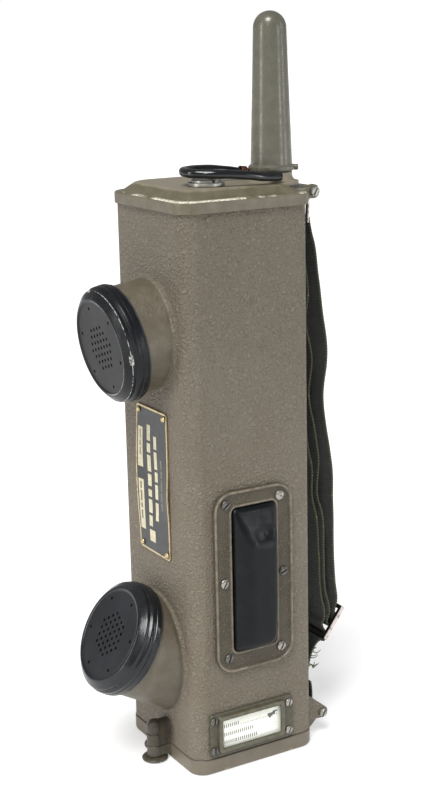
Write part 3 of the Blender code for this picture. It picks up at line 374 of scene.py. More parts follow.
def cover_paint():
    """Bottom cover: smooth olive, lightly rubbed on its lower edge."""
    m = Nodes("cover_paint", specular_ior_level=0.45)
    z = m.axis("Z")
    patches = m.span(m.noise(9.0, 4.0, 0.6), 0.35, 0.7)
    base = m.mix(patches, (0.128, 0.108, 0.077), (0.158, 0.134, 0.098))
    rub = m.times(m.band(z, 0.4 * MM, 1.6 * MM, 0.5 * MM), m.span(m.noise(8.0, 3.0), 0.5, 0.64))
    # Painted shade darkens the top edge of the cover, where it meets the case.
    grime_and_shade = m.span(z, (COVER_TOP - 1.0) * MM, COVER_TOP * MM)
    base = m.mix(m.times(grime_and_shade, 0.6), base, (0.05, 0.04, 0.028))
    latch = m.times(m.near((*LATCH, 5.0), 11.0), 0.75)
    base = m.mix(latch, base, (0.036, 0.031, 0.021))
    m.colour(m.mix(m.times(rub, 0.6), base, (0.30, 0.26, 0.19)))
    m.rough(0.45)
    m.bump(m.noise(1.8, 3.0, 0.6), 0.12)
    return m.material


def bezel_paint():
    """Bezel: bronze-olive wrinkle in the recess, lighter rubbed ridges."""
    m = Nodes("bezel_paint", specular_ior_level=0.45)
    x = m.axis("X")
    height, pebbles = crackle(m, 1.7)
    # Painted shade darkens the wrinkle crevices of the recess.
    recess = m.mix(m.span(pebbles, 0.1, 0.9), (0.048, 0.038, 0.022), BRONZE)
    recess = m.mix(m.span(m.noise(13.0, 3.0), 0.4, 0.7), recess, (0.066, 0.054, 0.034))
    ridge = m.span(x, (SIDE_X + 2.05) * MM, (SIDE_X + 2.55) * MM)
    rubbed = m.mix(m.span(m.noise(4.0, 4.0, 0.6), 0.35, 0.65), (0.105, 0.088, 0.061), (0.180, 0.152, 0.109))
    m.colour(m.mix(ridge, recess, rubbed))
    m.rough(m.mix(ridge, (0.52, 0.52, 0.52), (0.36, 0.36, 0.36)))
    m.bump(m.times(height, m.span(ridge, 0.0, 1.0, 1.0, 0.2)), 0.3)
    return m.material


def frame_paint():
    """Label frame: dark smooth olive, lighter on its rounded ridge."""
    m = Nodes("frame_paint", specular_ior_level=0.5)
    ridge = m.span(m.axis("X"), (SIDE_X + 2.4) * MM, (SIDE_X + 3.3) * MM)
    mottle = m.span(m.noise(3.0, 3.0, 0.6), 0.35, 0.7)
    low = m.mix(mottle, (0.046, 0.042, 0.024), (0.072, 0.065, 0.040))
    high = m.mix(mottle, (0.070, 0.066, 0.039), (0.112, 0.102, 0.067))
    m.colour(m.mix(ridge, low, high))
    m.rough(0.4)
    m.bump(m.noise(1.2, 3.0, 0.6), 0.07)
    return m.material


def bakelite(name, gloss, wear):
    """Black moulded cap in its own frame: Z along its axis. wear is how much paint is chipped off."""
    m = Nodes(name, specular_ior_level=0.20 if wear else 0.38)
    radius, depth = m.radius(), m.axis("Z")
    face = m.times(m.span(radius, 24.6 * MM, 24.0 * MM), m.span(depth, 10.0 * MM, 10.6 * MM))
    dust = m.span(m.noise(16.0, 5.0, 0.62), 0.35, 0.75)
    black = m.mix(dust, (0.0050, 0.0058, 0.0075), (0.012, 0.013, 0.015))
    grey = m.mix(dust, (0.0045, 0.0048, 0.0052), (0.013, 0.0135, 0.0135)) if wear else \
        m.mix(dust, (0.007, 0.0082, 0.010), (0.014, 0.016, 0.019))
    base = m.mix(face, black, grey)
    exposed = m.span(m.axis("X"), -4.0 * MM, 6.0 * MM)
    ridge = m.band(depth, 8.75 * MM, 8.92 * MM, 0.08 * MM)
    scratch = m.times(ridge, m.span(m.noise(3.0, 4.0, 0.65), 0.40, 0.56))
    ring = m.times(m.band(radius, 24.6 * MM, 24.9 * MM, 0.16 * MM), m.span(m.noise(11.0, 3.0), 0.40, 0.56))
    thin = m.times(exposed, m.maths("MAXIMUM", m.times(scratch, 0.85),
                                               m.times(ring, 0.6)))
    flakes = m.span(m.noise(1.6, 4.0, 0.7), 0.46, 0.54)
    chipped = m.times(m.maths("MAXIMUM", m.near((29.2, -2.0, 8.8), 3.2), m.near((-7.0, 28.2, 9.0), 2.0)),
                      m.times(flakes, m.band(depth, 8.0 * MM, 9.5 * MM, 0.3 * MM)))
    lost = m.times(m.maths("MAXIMUM", thin, chipped), wear)
    m.colour(m.mix(lost, base, (0.44, 0.43, 0.39)))
    scratches = m.noise(1.2, 2.0, 0.5, at=m.stretched(1.0, 0.12, 1.0))
    m.rough(m.mix(face, m.span(scratches, 0.3, 0.7, gloss, gloss + 0.12), (gloss + 0.16,) * 3))
    m.bump(m.maths("MULTIPLY_ADD", lost, -0.5, m.noise(2.2, 3.0, 0.6)), 0.05)
    return m.material


def rubber(name, tone=(0.018, 0.019, 0.021), rough=0.36, depth=0.05, shine=0.5):
    m = Nodes(name, specular_ior_level=shine)
    bloom = m.span(m.noise(11.0, 4.0, 0.6), 0.35, 0.75)
    m.colour(m.mix(bloom, tone, tuple(c * 1.6 + 0.002 for c in tone)))
    m.rough(m.span(m.noise(5.0, 3.0, 0.6), 0.3, 0.7, rough, rough * 1.35))
    m.bump(m.noise(1.5, 3.0, 0.6), depth)
    return m.material


def metal(name, tone, rough, grime_and_shade=(0.05, 0.042, 0.03), amount=0.45, size=1.6):
    m = Nodes(name, metallic=0.85)
    dirt = m.span(m.noise(size, 4.0, 0.65), 0.48, 0.66)
    m.colour(m.mix(m.times(dirt, amount), tone, grime_and_shade))
    m.rough(m.span(dirt, 0.0, 1.0, rough, rough + 0.28))
    m.bump(m.noise(0.7, 3.0, 0.6), 0.04)
    return m.material


def webbing(name, tone=(0.0068, 0.0090, 0.0050)):
    """Woven strap: UV u runs across in metres from its middle, v along it."""
    m = Nodes(name, roughness=0.88, specular_ior_level=0.2, sheen_weight=0.18, sheen_roughness=0.6)
    uv = m.node("ShaderNodeUVMap", {}, uv_map="weave").outputs["UV"]
    split = m.node("ShaderNodeSeparateXYZ", {0: uv})
    across, along = split.outputs["X"], split.outputs["Y"]

    def wave(value, pitch, phase=0.0):
        turned_by = m.maths("MULTIPLY_ADD", value, 2 * math.pi / (pitch * MM), phase)
        return m.maths("MULTIPLY_ADD", m.maths("SINE", turned_by), 0.5, 0.5)

    warp = wave(across, 0.95)
    rib = wave(along, RIB_PITCH)
    weave = m.maths("MULTIPLY_ADD", warp, 0.5, m.times(rib, 0.5))
    edge = m.span(m.maths("ABSOLUTE", across), (STRAP_HALF - 1.5) * MM, (STRAP_HALF - 0.3) * MM)
    faded = m.span(m.noise(8.0, 4.0, 0.6), 0.4, 0.7)
    body = m.mix(weave, tuple(c * 0.5 for c in tone), tuple(c * 1.6 for c in tone))
    body = m.mix(m.times(faded, 0.3), body, (0.042, 0.046, 0.026))
    selvedge = m.mix(rib, (0.018, 0.022, 0.011), (0.070, 0.074, 0.036))
    body = m.mix(m.times(edge, 0.95), body, selvedge)
    speck = m.span(m.noise(1.5, 2.0, 0.5), 0.66, 0.72)
    m.colour(m.mix(m.times(speck, m.span(edge, 0.0, 1.0, 0.12, 0.8)), body, (0.32, 0.28, 0.10)))
    m.bump(m.maths("MULTIPLY_ADD", m.noise(0.5, 2.0), 0.4, weave), 0.16)
    return m.material


def plain(name, tone, shade, rough, size=3.0, depth=0.03, **constants):
    """Two close tones in blotches, for inks, card, windings and other small finishes."""
    m = Nodes(name, roughness=rough, **constants)
    m.colour(m.mix(m.span(m.noise(size, 4.0, 0.6), 0.35, 0.7), shade, tone))
    m.bump(m.noise(size * 0.3, 3.0, 0.6), depth)
    return m.material


def window_sheet():
    m = Nodes("window_sheet", roughness=0.07, alpha=0.03)
    m.colour(m.mix(m.noise(14.0, 2.0), (0.80, 0.80, 0.72), (0.92, 0.93, 0.88)))
    return m.material


def valve_glass():
    m = Nodes("valve_glass", roughness=0.05, transmission_weight=0.85, ior=1.45)
    m.colour(m.mix(m.noise(6.0, 2.0), (0.62, 0.66, 0.66), (0.80, 0.84, 0.84)))
    return m.material


def winding(name, dark, light, pitch):
    """Wire or paper wound round an upright form."""
    m = Nodes(name, roughness=0.5)
    turns = m.maths("SINE", m.times(m.axis("Z"), 2 * math.pi / (pitch * MM)))
    height = m.maths("MULTIPLY_ADD", turns, 0.5, 0.5)
    m.colour(m.mix(height, dark, light))
    m.bump(height, 0.12)
    return m.material


# ---------------------------------------------------------------- outlines

def arc(centre, radius, start, end, steps):
    points = []
    for i in range(steps + 1):
        angle = math.radians(start + (end - start) * i / steps)
        points.append((centre[0] + radius * math.cos(angle), centre[1] + radius * math.sin(angle)))
    return points


def rounded_rectangle(width, height, radius, centre=(0.0, 0.0), steps=CORNER_STEPS):
    points = []
    for sx, sy, start in ((1, 1, 0), (-1, 1, 90), (-1, -1, 180), (1, -1, 270)):
        corner = (centre[0] + sx * (width / 2 - radius), centre[1] + sy * (height / 2 - radius))
        points += arc(corner, radius, start, start + 90, steps)
    return points


def smooth_path(points, steps):
    """Catmull-Rom curve through the points."""
    vectors = [Vector(p) for p in points]
    ends = [vectors[0] * 2 - vectors[1]] + vectors + [vectors[-1] * 2 - vectors[-2]]
    path = []
    for a, b, c, d in zip(ends, ends[1:], ends[2:], ends[3:]):
        for i in range(steps):
            t = i / steps
            path.append(0.5 * (2 * b + (c - a) * t + (2 * a - 5 * b + 4 * c - d) * t * t
                               + (3 * b - 3 * c + d - a) * t * t * t))
    path.append(vectors[-1])
    return path


def evenly(path, step):
    """The same line with points a fixed step apart."""
    total = sum((b - a).length for a, b in zip(path, path[1:]))
    count = max(2, round(total / step))
    spots = [total * i / count for i in range(count + 1)]
    out, walked, k = [], 0.0, 0
    for spot in spots:
        while k < len(path) - 2 and walked + (path[k + 1] - path[k]).length < spot:
            walked += (path[k + 1] - path[k]).length
            k += 1
        span = (path[k + 1] - path[k]).length
        out.append(path[k].lerp(path[k + 1], min(1.0, (spot - walked) / span)))
    return out, total


# ---------------------------------------------------------------- bodies

def prism(outline, low, high, place=None):
    bm = bmesh.new()
    floor = [bm.verts.new((x, y, low)) for x, y in outline]
    roof = [bm.verts.new((x, y, high)) for x, y in outline]
    bm.faces.new(floor[::-1])
    bm.faces.new(roof)
    for i in range(len(outline)):
        j = (i + 1) % len(outline)
        bm.faces.new((floor[i], floor[j], roof[j], roof[i]))
    if place:
        bmesh.ops.transform(bm, matrix=place, verts=bm.verts)
    return bm


def soft_prism(outline, low, high, bevel, place=None):
    """A prism with its top and bottom edges rounded."""
    bm = prism(outline, low, high)
    rims = [e for e in bm.edges if abs(e.verts[0].co.z - e.verts[1].co.z) < 1e-6]
    bmesh.ops.bevel(bm, geom=rims, offset=bevel, segments=2, profile=0.5, affect="EDGES", clamp_overlap=True)
    if place:
        bmesh.ops.transform(bm, matrix=place, verts=bm.verts)
    return bm


def block(low, high, bevel=0.0, segments=2):
    bm = bmesh.new()
    bmesh.ops.create_cube(bm, size=1.0)
    bmesh.ops.scale(bm, vec=Vector(high) - Vector(low), verts=bm.verts)
    bmesh.ops.translate(bm, vec=(Vector(high) + Vector(low)) / 2, verts=bm.verts)
    if bevel:
        bmesh.ops.bevel(bm, geom=bm.edges[:], offset=bevel, segments=segments, profile=0.5,
                        affect="EDGES", clamp_overlap=True)
    return bm


def turned(profile, segments=48, place=None, ring=False):
    bm = bmesh.new()
    verts = [bm.verts.new((r, 0.0, z)) for r, z in profile]
    edges = [bm.edges.new(pair) for pair in zip(verts, verts[1:])]
    if ring:
        edges.append(bm.edges.new((verts[-1], verts[0])))
    bmesh.ops.spin(bm, geom=verts + edges, axis=(0, 0, 1), cent=(0, 0, 0),
                   angle=2 * math.pi, steps=segments, use_merge=True)
    bmesh.ops.remove_doubles(bm, verts=bm.verts, dist=0.0005)
    if place:
        bmesh.ops.transform(bm, matrix=place, verts=bm.verts)
    return bm


def lofted(rings, closed=False):
    bm = bmesh.new()
    loops = [[bm.verts.new(p) for p in ring] for ring in rings]
    pairs = list(zip(loops, loops[1:]))
    if closed:
        pairs.append((loops[-1], loops[0]))
    else:
        bm.faces.new(loops[0][::-1])
        bm.faces.new(loops[-1])
    for lower, upper in pairs:
        for i in range(len(lower)):
            j = (i + 1) % len(lower)
            bm.faces.new((lower[i], lower[j], upper[j], upper[i]))
    return bm


def swept_tube(path, radius, sides=20):
    """A round bar along a path, closed by flat ends."""
    rings = []
    side = Vector((0, 0, 1))
    last = len(path) - 1
    for i, point in enumerate(path):
        ahead = (path[min(i + 1, last)] - path[max(i - 1, 0)]).normalized()
        side = (side - ahead * side.dot(ahead)).normalized()
        other = ahead.cross(side)
        r = radius(i / last) if callable(radius) else radius
        rings.append([point + r * (side * math.cos(a) + other * math.sin(a))
                      for a in (2 * math.pi * k / sides for k in range(sides))])
    return lofted(rings)


def at(x, y, z=0.0):
    return Matrix.Translation((x, y, z))


def along_x(y, z):
    return Matrix.Translation((0, y, z)) @ SIDE


def aimed(rim, tilt):
    """Frame at a rim centre, local Z out of the case along the tilt."""
    c, s = math.cos(math.radians(tilt)), math.sin(math.radians(tilt))
    return Matrix(((1, 0, 0, 0), (0, s, -c, rim[0]), (0, c, s, rim[1]), (0, 0, 0, 1)))


def cylinder(radius, low, high, place=None, segments=40):
    return turned(((0, high), (radius, high), (radius, low), (0, low)), segments, place)


# ---------------------------------------------------------------- pieces

def mesh_from(bm, name, finishes):
    bmesh.ops.recalc_face_normals(bm, faces=bm.faces)
    bmesh.ops.scale(bm, vec=(MM, MM, MM), verts=bm.verts)
    mesh = bpy.data.meshes.new(name)
    bm.to_mesh(mesh)
    bm.free()
    for finish in finishes:
        mesh.materials.append(finish)
    return mesh


def piece(name, bm, finish, body="case", replaces=(), place=None, cuts=(), joins=(), sharp=32):
    """Makes a body in millimetres into a piece that rides on a CAD body."""
    obj = bpy.data.objects.new(name, mesh_from(bm, name, finish if isinstance(finish, list) else [finish]))
    bpy.context.scene.collection.objects.link(obj)
    combine(obj, joins, cuts)
    obj.data.shade_smooth()
    obj.data.set_sharp_from_angle(angle=math.radians(sharp))
    if joins or cuts:
        weigh = obj.modifiers.new("weigh", "WEIGHTED_NORMAL")
        weigh.keep_sharp = True
        weigh.weight = 90
    if place is not None:
        moved = place.copy()
        moved.translation = moved.translation * MM
        obj.matrix_world = moved
    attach(obj, body)
    if replaces:
        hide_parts(*replaces)
    return obj


def combine(obj, joins, cuts):
    """Joins bodies to an object and cuts others out of it, by exact Booleans."""
    tools = []
    for operation, bodies in (("UNION", joins), ("DIFFERENCE", cuts)):
        for bm in bodies:
            tool = bpy.data.objects.new("tool", mesh_from(bm, "tool", ()))
            bpy.context.scene.collection.objects.link(tool)
            modifier = obj.modifiers.new("shape", "BOOLEAN")
            modifier.operation = operation
            modifier.solver = "EXACT"
            modifier.object = tool
            tools.append(tool)
    if not tools:
        return
    bpy.context.view_layer.update()
    shaped = bpy.data.meshes.new_from_object(obj.evaluated_get(bpy.context.evaluated_depsgraph_get()))
    shaped.name = obj.name
    obj.modifiers.clear()
    obj.data = shaped
    for tool in tools:
        bpy.data.objects.remove(tool, do_unlink=True)


def screw(name, place, head_r, head_h, turn, finish, body="case", replaces=()):
    """Domed slotted screw head on its shank, seated at local z = 0."""
    dome = [(head_r * math.sin(a), head_h * (0.25 + 0.75 * math.cos(a)))
            for a in (math.radians(d) for d in (0, 15, 30, 45, 60, 75, 90))]
    profile = dome + [(head_r, 0.0), (1.1, 0.0), (1.1, -4.0), (0, -4.0)]
    slot_w = head_r * 0.19
    slot = block((-head_r * 1.2, -slot_w, head_h * 0.12), (head_r * 1.2, slot_w, head_h * 2))
    bmesh.ops.transform(slot, matrix=Matrix.Rotation(math.radians(turn), 4, "Z"), verts=slot.verts)
    return piece(name, turned(profile, 28), finish, body, replaces, place=place, cuts=[slot])


# ---------------------------------------------------------------- case

def case_ring(inset, level, steps=CORNER_STEPS):
    points = rounded_rectangle(CASE_W - 2 * inset, CASE_D - 2 * inset, CASE_R - inset, steps=steps)
    return [Vector((x, y, level)) for x, y in points]


def pot(rim, tilt):
    """A round drum drawn out of the front wall, its foot flaring into the wall."""
    place = aimed(rim, tilt)
    outward = place.to_3x3() @ Vector((0, 0, 1))
    segments = 112
    shoulder = -1.4
    turns = [2 * math.pi * k / segments for k in range(segments)]
    rings = []
    for radius, depth in ((SPIGOT_R, 6.0), (SPIGOT_R, shoulder), (POT_R - 0.5, shoulder),
                          (POT_R - 0.1, shoulder - 0.2), (POT_R, shoulder - 0.6)):
        rings.append([place @ Vector((radius * math.cos(a), radius * math.sin(a), depth)) for a in turns])
    for above in (1.0, 0.72, 0.5, 0.33, 0.2, 0.1, 0.03, -0.25):
        ring = []
        lift = POT_FILLET * above
        flare = POT_FILLET - math.sqrt(max(0.0, POT_FILLET ** 2 - (POT_FILLET - lift) ** 2)) if lift > 0 \
            else POT_FILLET + 0.2
        for a in turns:
            across = Vector((math.cos(a), math.sin(a), 0))
            start = place @ (across * POT_R + Vector((0, 0, shoulder - 0.6)))
            reach = (FRONT_Y - lift - start.y) / -outward.y
            point = start - outward * reach
            ring.append(point + Vector((across.x, 0, across.y)) * flare)
        rings.append(ring)
    return lofted(rings)


def lug(pin, radius, low_x, high_x, foot):
    outline = [foot[0]] + arc(pin, radius, *foot[2]) + [foot[1]]
    return soft_prism(outline, low_x, high_x, 0.5, SIDE)


def make_case():
    wall = lofted([case_ring(0, CASE_BOTTOM), case_ring(0, CASE_TOP),
                   case_ring(CASE_WALL, CASE_TOP), case_ring(CASE_WALL, CASE_BOTTOM)], closed=True)
    boss = turned([(0, 23.4), (1.4, 23.3), (2.6, 22.8), (3.5, 21.9), (4.1, 20.7), (LATCH_BOSS_R, 19.4),
                   (LATCH_BOSS_R, 17.3), (3.7, 16.9), (3.7, 15.8), (LATCH_BOSS_R, 15.4),
                   (LATCH_BOSS_R, CASE_BOTTOM), (0, CASE_BOTTOM)], 48, at(*LATCH))
    arch = [(-4.0, -1.0)] + arc((0, 8.6), 4.0, 180, 0, 16) + [(4.0, -1.0)]
    web = soft_prism(arch[::-1], 36.9, -LATCH[1] - 1.0, 0.9, FRONT @ at(LATCH[0], CASE_BOTTOM + 1.0, 0))
    joins = [pot(EAR_RIM, EAR_TILT), pot(MOUTH_RIM, MOUTH_TILT), boss, web]
    for side in (-1, 1):
        low, high = sorted((side * 26.0, side * 30.0))
        joins.append(lug(HINGE_PIN, 3.6, low, high, ((36.9, 27.0), (36.9, 10.4), (42, -85, 20))))
    cuts = [cylinder(BORE_R, -30.0, 8.0, aimed(EAR_RIM, EAR_TILT), 64),
            cylinder(BORE_R, -34.0, 8.0, aimed(MOUTH_RIM, MOUTH_TILT), 64),
            prism(rounded_rectangle(OPENING_W + 1.0, OPENING_H + 1.0, 3.0, OPENING_MID, 4),
                  SIDE_X - 4, SIDE_X + 2, SIDE),
            block((-60, -60, CASE_BOTTOM - 4), (60, 60, CASE_BOTTOM)),
            cylinder(2.9, CASE_BOTTOM - 1, 19.0, at(*LATCH)),
            cylinder(PIN_HOLE_R, -32.0, 32.0, along_x(*HINGE_PIN))]
    piece("case_body", wall, case_paint(), replaces=["case_shell"],
          joins=joins, cuts=cuts)


# ---------------------------------------------------------------- bottom cover and latch

def cover_ring(inset, level):
    grow = 2 * COVER_OVERHANG
    points = rounded_rectangle(CASE_W + grow - 2 * inset, CASE_D + grow - 2 * inset,
                               CASE_R + COVER_OVERHANG - inset * 0.8)
    return [Vector((x, y, level)) for x, y in points]


def make_cover():
    paint = cover_paint()
    section = ((2.6, 0.0), (1.4, 0.1), (0.6, 0.5), (0.15, 1.2), (0.0, 2.0), (0.0, COVER_TOP - 0.5),
               (0.3, COVER_TOP - 0.1), (0.7, COVER_TOP), (COVER_WALL, COVER_TOP), (COVER_WALL, 2.4))
    tray = lofted([cover_ring(inset, level) for inset, level in section])
    barrel = turned([(0, COVER_TOP), (LATCH_BOSS_R - 0.4, COVER_TOP), (LATCH_BOSS_R, COVER_TOP - 0.4),
                     (LATCH_BOSS_R, 3.1), (LATCH_BOSS_R - 0.4, 2.7), (0, 2.7)], 48, at(*LATCH))
    web = block((LATCH[0] - 4.0, LATCH[1], 2.9), (LATCH[0] + 4.0, -36.6, COVER_TOP - 0.1), 0.4, 1)
    joins = [barrel, web]
    for side in (-1, 1):
        low, high = sorted((side * 19.5, side * 25.7))
        outline = [(36.9, 1.8), (36.9, 8.4), (40.5, 8.6)] + arc(HINGE_PIN, 3.4, 170, -75, 24)
        outline += [(44.0, 4.4), (40.6, 1.8)]
        joins.append(soft_prism(outline[::-1], low, high, 0.4, SIDE))
    crosswise = at(*LATCH, 6.2) @ SIDE @ Matrix.Rotation(math.pi, 4, "X")
    cuts = [cylinder(2.4, -1.0, 12.0, at(*LATCH)), cylinder(1.5, 1.8, 9.0, crosswise, 20),
            cylinder(PIN_HOLE_R, -32.0, 32.0, along_x(*HINGE_PIN))]
    piece("cover_tray", tray, paint, "cover", ["bottom_cover"], joins=joins, cuts=cuts)
    latch = smooth_paint("latch_paint", (0.088, 0.075, 0.050), (0.034, 0.029, 0.020), 0.42, 3.0, 0.09)
    disc = [(0, 16.0), (1.6, 16.0), (2.0, 15.4), (2.0, 2.9), (2.6, 2.55), (4.4, 2.5), (6.0, 2.3), (6.8, 2.0),
            (7.15, 1.6), (7.2, 1.2), (7.0, 0.8), (6.4, 0.45), (6.0, 0.4), (0, 0.4)]
    slot = block((LATCH[0] - 10, LATCH[1] - 0.7, -1.0), (LATCH[0] + 10, LATCH[1] + 0.7, 1.1))
    piece("latch_thumbscrew", turned(disc, 56, at(*LATCH)), latch, "latch", ["latch_screw"],
          cuts=[slot])
    knob = [(0, 2.9), (1.2, 2.9), (1.2, 4.9), (2.2, 4.9), (2.6, 5.2), (2.75, 5.8), (2.75, 7.2), (2.4, 7.9),
            (1.6, 8.2), (0, 8.2)]
    piece("latch_knob", turned(knob, 32, crosswise), latch, "cover", ["latch_pin"])


# ---------------------------------------------------------------- top cover

def lid_ring(inset, level, radius):
    grow = 2 * LID_OVERHANG
    points = rounded_rectangle(CASE_W + grow - 2 * inset, CASE_D + grow - 2 * inset, radius)
    return [Vector((x, y, level)) for x, y in points]


def make_lid():
    outer_r = CASE_R + LID_OVERHANG
    skirt = LID_OVERHANG - GAP
    section = ((10.0, 308.6, 9.0), (6.0, LID_SEAT, 7.0), (skirt, LID_SEAT, outer_r - skirt),
               (skirt, LID_RIM_LOW, outer_r - skirt), (0.3, LID_RIM_LOW, outer_r - 0.3),
               (0.08, LID_RIM_LOW + 0.15, outer_r), (0.0, LID_RIM_LOW + 0.5, outer_r),
               (0.0, LID_RIM_HIGH - 1.2, outer_r), (0.12, LID_RIM_HIGH - 0.65, outer_r),
               (0.45, LID_RIM_HIGH - 0.25, outer_r), (1.0, LID_RIM_HIGH, outer_r),
               (1.8, LID_RIM_HIGH + 0.08, outer_r), (2.8, LID_RIM_HIGH + 0.2, outer_r),
               (3.4, LID_RIM_HIGH + 0.55, outer_r + 0.4), (6.6, LID_TOP - 0.9, outer_r + 2.4),
               (7.2, LID_TOP - 0.35, outer_r + 2.7), (8.0, LID_TOP - 0.05, outer_r + 3.0),
               (8.8, LID_TOP, outer_r + 3.2))
    rings = [lid_ring(*row) for row in section]
    neck = [(0, 322.0), (8.2, 322.0), (8.6, 321.6), (8.6, NECK_TOP), (NECK_R - 0.4, NECK_TOP),
            (NECK_R, NECK_TOP - 0.4), (NECK_R, 314.2)]
    neck += [(NECK_R + 3.0 - r, z) for r, z in ((2.95, 313.6), (2.8, 312.9), (2.45, 312.3), (1.9, 311.8),
                                               (1.2, 311.4), (0.5, 311.2), (-0.3, 311.05))]
    neck += [(NECK_R + 3.3, 309.4), (0, 309.4)]
    joins = [turned(neck, 72, at(*AERIAL))]
    for low, high in ((AERIAL[0] + 7, 31.8), (4.2, AERIAL[0] - 7)):
        joins.append(cylinder(1.2, low, high, along_x(LOOP_PIVOT_Y, LOOP_PIVOT_Z), 24))
    for side in (-1, 1):
        low, high = sorted((side * 19.0, side * 22.5))
        joins.append(lug(TOP_PIN, 3.7, low, high, ((38.4, 306.0), (38.4, 300.8), (80, -95, 22))))
    cuts = [cylinder(6.3, 300.0, 330.0, at(*AERIAL)), cylinder(6.9, 300.0, 330.0, at(*PLUG)),
            cylinder(PIN_HOLE_R, -30.0, 30.0, along_x(*TOP_PIN))]
    piece("lid_casting", lofted(rings), lid_paint(), replaces=["top_cover"],
          joins=joins, cuts=cuts)


def make_plug(finish):
    profile = [(0, 314.6), (6.4, 314.6), (7.1, 314.5), (7.5, 314.15), (7.6, 313.7), (7.6, 313.2),
               (8.8, 313.15), (9.25, 312.95), (PLUG_R, 312.5), (PLUG_R, LID_TOP + GAP),
               (6.5, LID_TOP + GAP), (6.5, 302.0), (0, 302.0)]
    slot = block((PLUG[0] - 12, PLUG[1] - 0.9, 313.2), (PLUG[0] + 12, PLUG[1] + 0.9, 316))
    piece("plug_body", turned(profile, 64, at(*PLUG)), finish, replaces=["top_plug"],
          cuts=[slot])


# ---------------------------------------------------------------- aerial cap and its loop

def make_aerial_cap():
    dome = [(r, CAP_TOP - CAP_TOP_R + z) for r, z in arc((0, 0), CAP_TOP_R, 86, 0, 16)]
    foot = [(9.6, 352.0), (NECK_R, 320.3), (NECK_R + 0.05, 319.7), (NECK_R + 0.5, 319.2),
            (CAP_BEAD_R - 0.4, 319.0), (CAP_BEAD_R, 318.6), (CAP_BEAD_R, 317.2),
            (CAP_BEAD_R - 0.3, 316.7), (CAP_BEAD_R - 0.8, CAP_BOTTOM)]
    outer = [(0, CAP_TOP)] + dome + foot
    inner = [(8.95, CAP_BOTTOM), (8.95, 323.0), (8.3, 323.6), (6.4, 386.0), (4.4, 391.6), (0, 393.2)]
    turn = Matrix.Rotation(math.radians(58), 4, "Z")
    ear = turned([(0, 13.8), (1.1, 13.8), (1.5, 13.4), (1.5, 10.4), (0, 10.4)], 24,
                 at(AERIAL[0], AERIAL[1], 317.9) @ turn @ SIDE)
    paint = smooth_paint("cap_paint", (0.102, 0.098, 0.072), (0.082, 0.078, 0.057), 0.22, 5.0, 0.02)
    piece("aerial_cover", turned(outer + inner, 72, at(*AERIAL)), paint, "aerial_cap",
          ["aerial_cap"], joins=[ear])


def make_loop():
    route = ((31.6, 21.5, 314.5), (31.9, 14.0, 314.9), (31.6, 5.0, 316.2), (30.0, -5.0, 317.3),
             (26.0, -15.0, 317.6), (18.5, -22.0, 318.0), (10.5, -21.0, 318.3), (5.2, -13.0, 318.2),
             (3.2, -3.0, 317.8), (3.2, 7.0, 316.6), (3.9, 15.0, 315.3), (4.4, 21.5, 314.5))
    path = smooth_path(route, 8)
    overrun = Vector((0, 1.9, 0))
    path = [path[0] + overrun] + path + [path[-1] + overrun]

    def hose(t):
        end = min(t, 1 - t)
        return LOOP_R * (0.93 + 0.07 * min(1.0, end / 0.02)) + 0.04 * math.sin(t * 61)

    holes = [cylinder(1.5, low, high, along_x(LOOP_PIVOT_Y, LOOP_PIVOT_Z), 20)
             for low, high in ((26.0, 32.1), (3.9, 10.0))]
    cover = rubber("loop_rubber", (0.0028, 0.0032, 0.0040), 0.14, 0.008)
    piece("loop_hose", swept_tube(path, hose, 24), cover, "loop", ["retaining_loop"],
          cuts=holes)
    ahead = Vector((0.077, 1.0, -0.123)).normalized()
    place = at(4.1, 17.7, 314.97) @ ahead.to_track_quat("Z", "Y").to_matrix().to_4x4()
    wire_r, wraps, steps = 0.34, 5, 14
    coil, coil_r = [], LOOP_R + GAP + wire_r
    for i in range(wraps * steps + 1):
        turn = 2 * math.pi * i / steps
        coil.append(Vector((coil_r * math.cos(turn), coil_r * math.sin(turn),
                            -1.75 + 3.5 * i / (wraps * steps))))
    coil.append(coil[-1] + Vector((0.6, 0.9, 0.5)))
    wire = swept_tube([place @ p for p in coil], wire_r, 8)
    piece("loop_wire", wire, metal("copper_wire", (0.13, 0.048, 0.034), 0.35, (0.03, 0.012, 0.010), 0.8, 1.2),
          "loop", ["loop_tie"])


# ---------------------------------------------------------------- earpiece and mouthpiece

def hole_cutters(turn):
    """A hexagonal pattern of holes and six holes outside it, as one cutter."""
    rotate = Matrix.Rotation(math.radians(turn), 2)
    centres = []
    for row in range(-HOLE_RINGS, HOLE_RINGS + 1):
        count = 2 * HOLE_RINGS + 1 - abs(row)
        for i in range(count):
            x = (i - (count - 1) / 2) * HOLE_PITCH
            centres.append((rotate @ Vector((x, row * HOLE_PITCH * math.sin(math.radians(60)))), HOLE_R))
    for k in range(6):
        angle = math.radians(turn + 30 + 60 * k)
        centres.append((Vector((math.cos(angle), math.sin(angle))) * OUTER_HOLE_RADIUS, OUTER_HOLE_R * 0.8))
    bm = bmesh.new()
    for centre, radius in centres:
        bmesh.ops.create_cone(bm, cap_ends=True, segments=14, radius1=radius, radius2=radius, depth=6.0,
                              matrix=Matrix.Translation((centre.x, centre.y, 10.0)))
    return bm


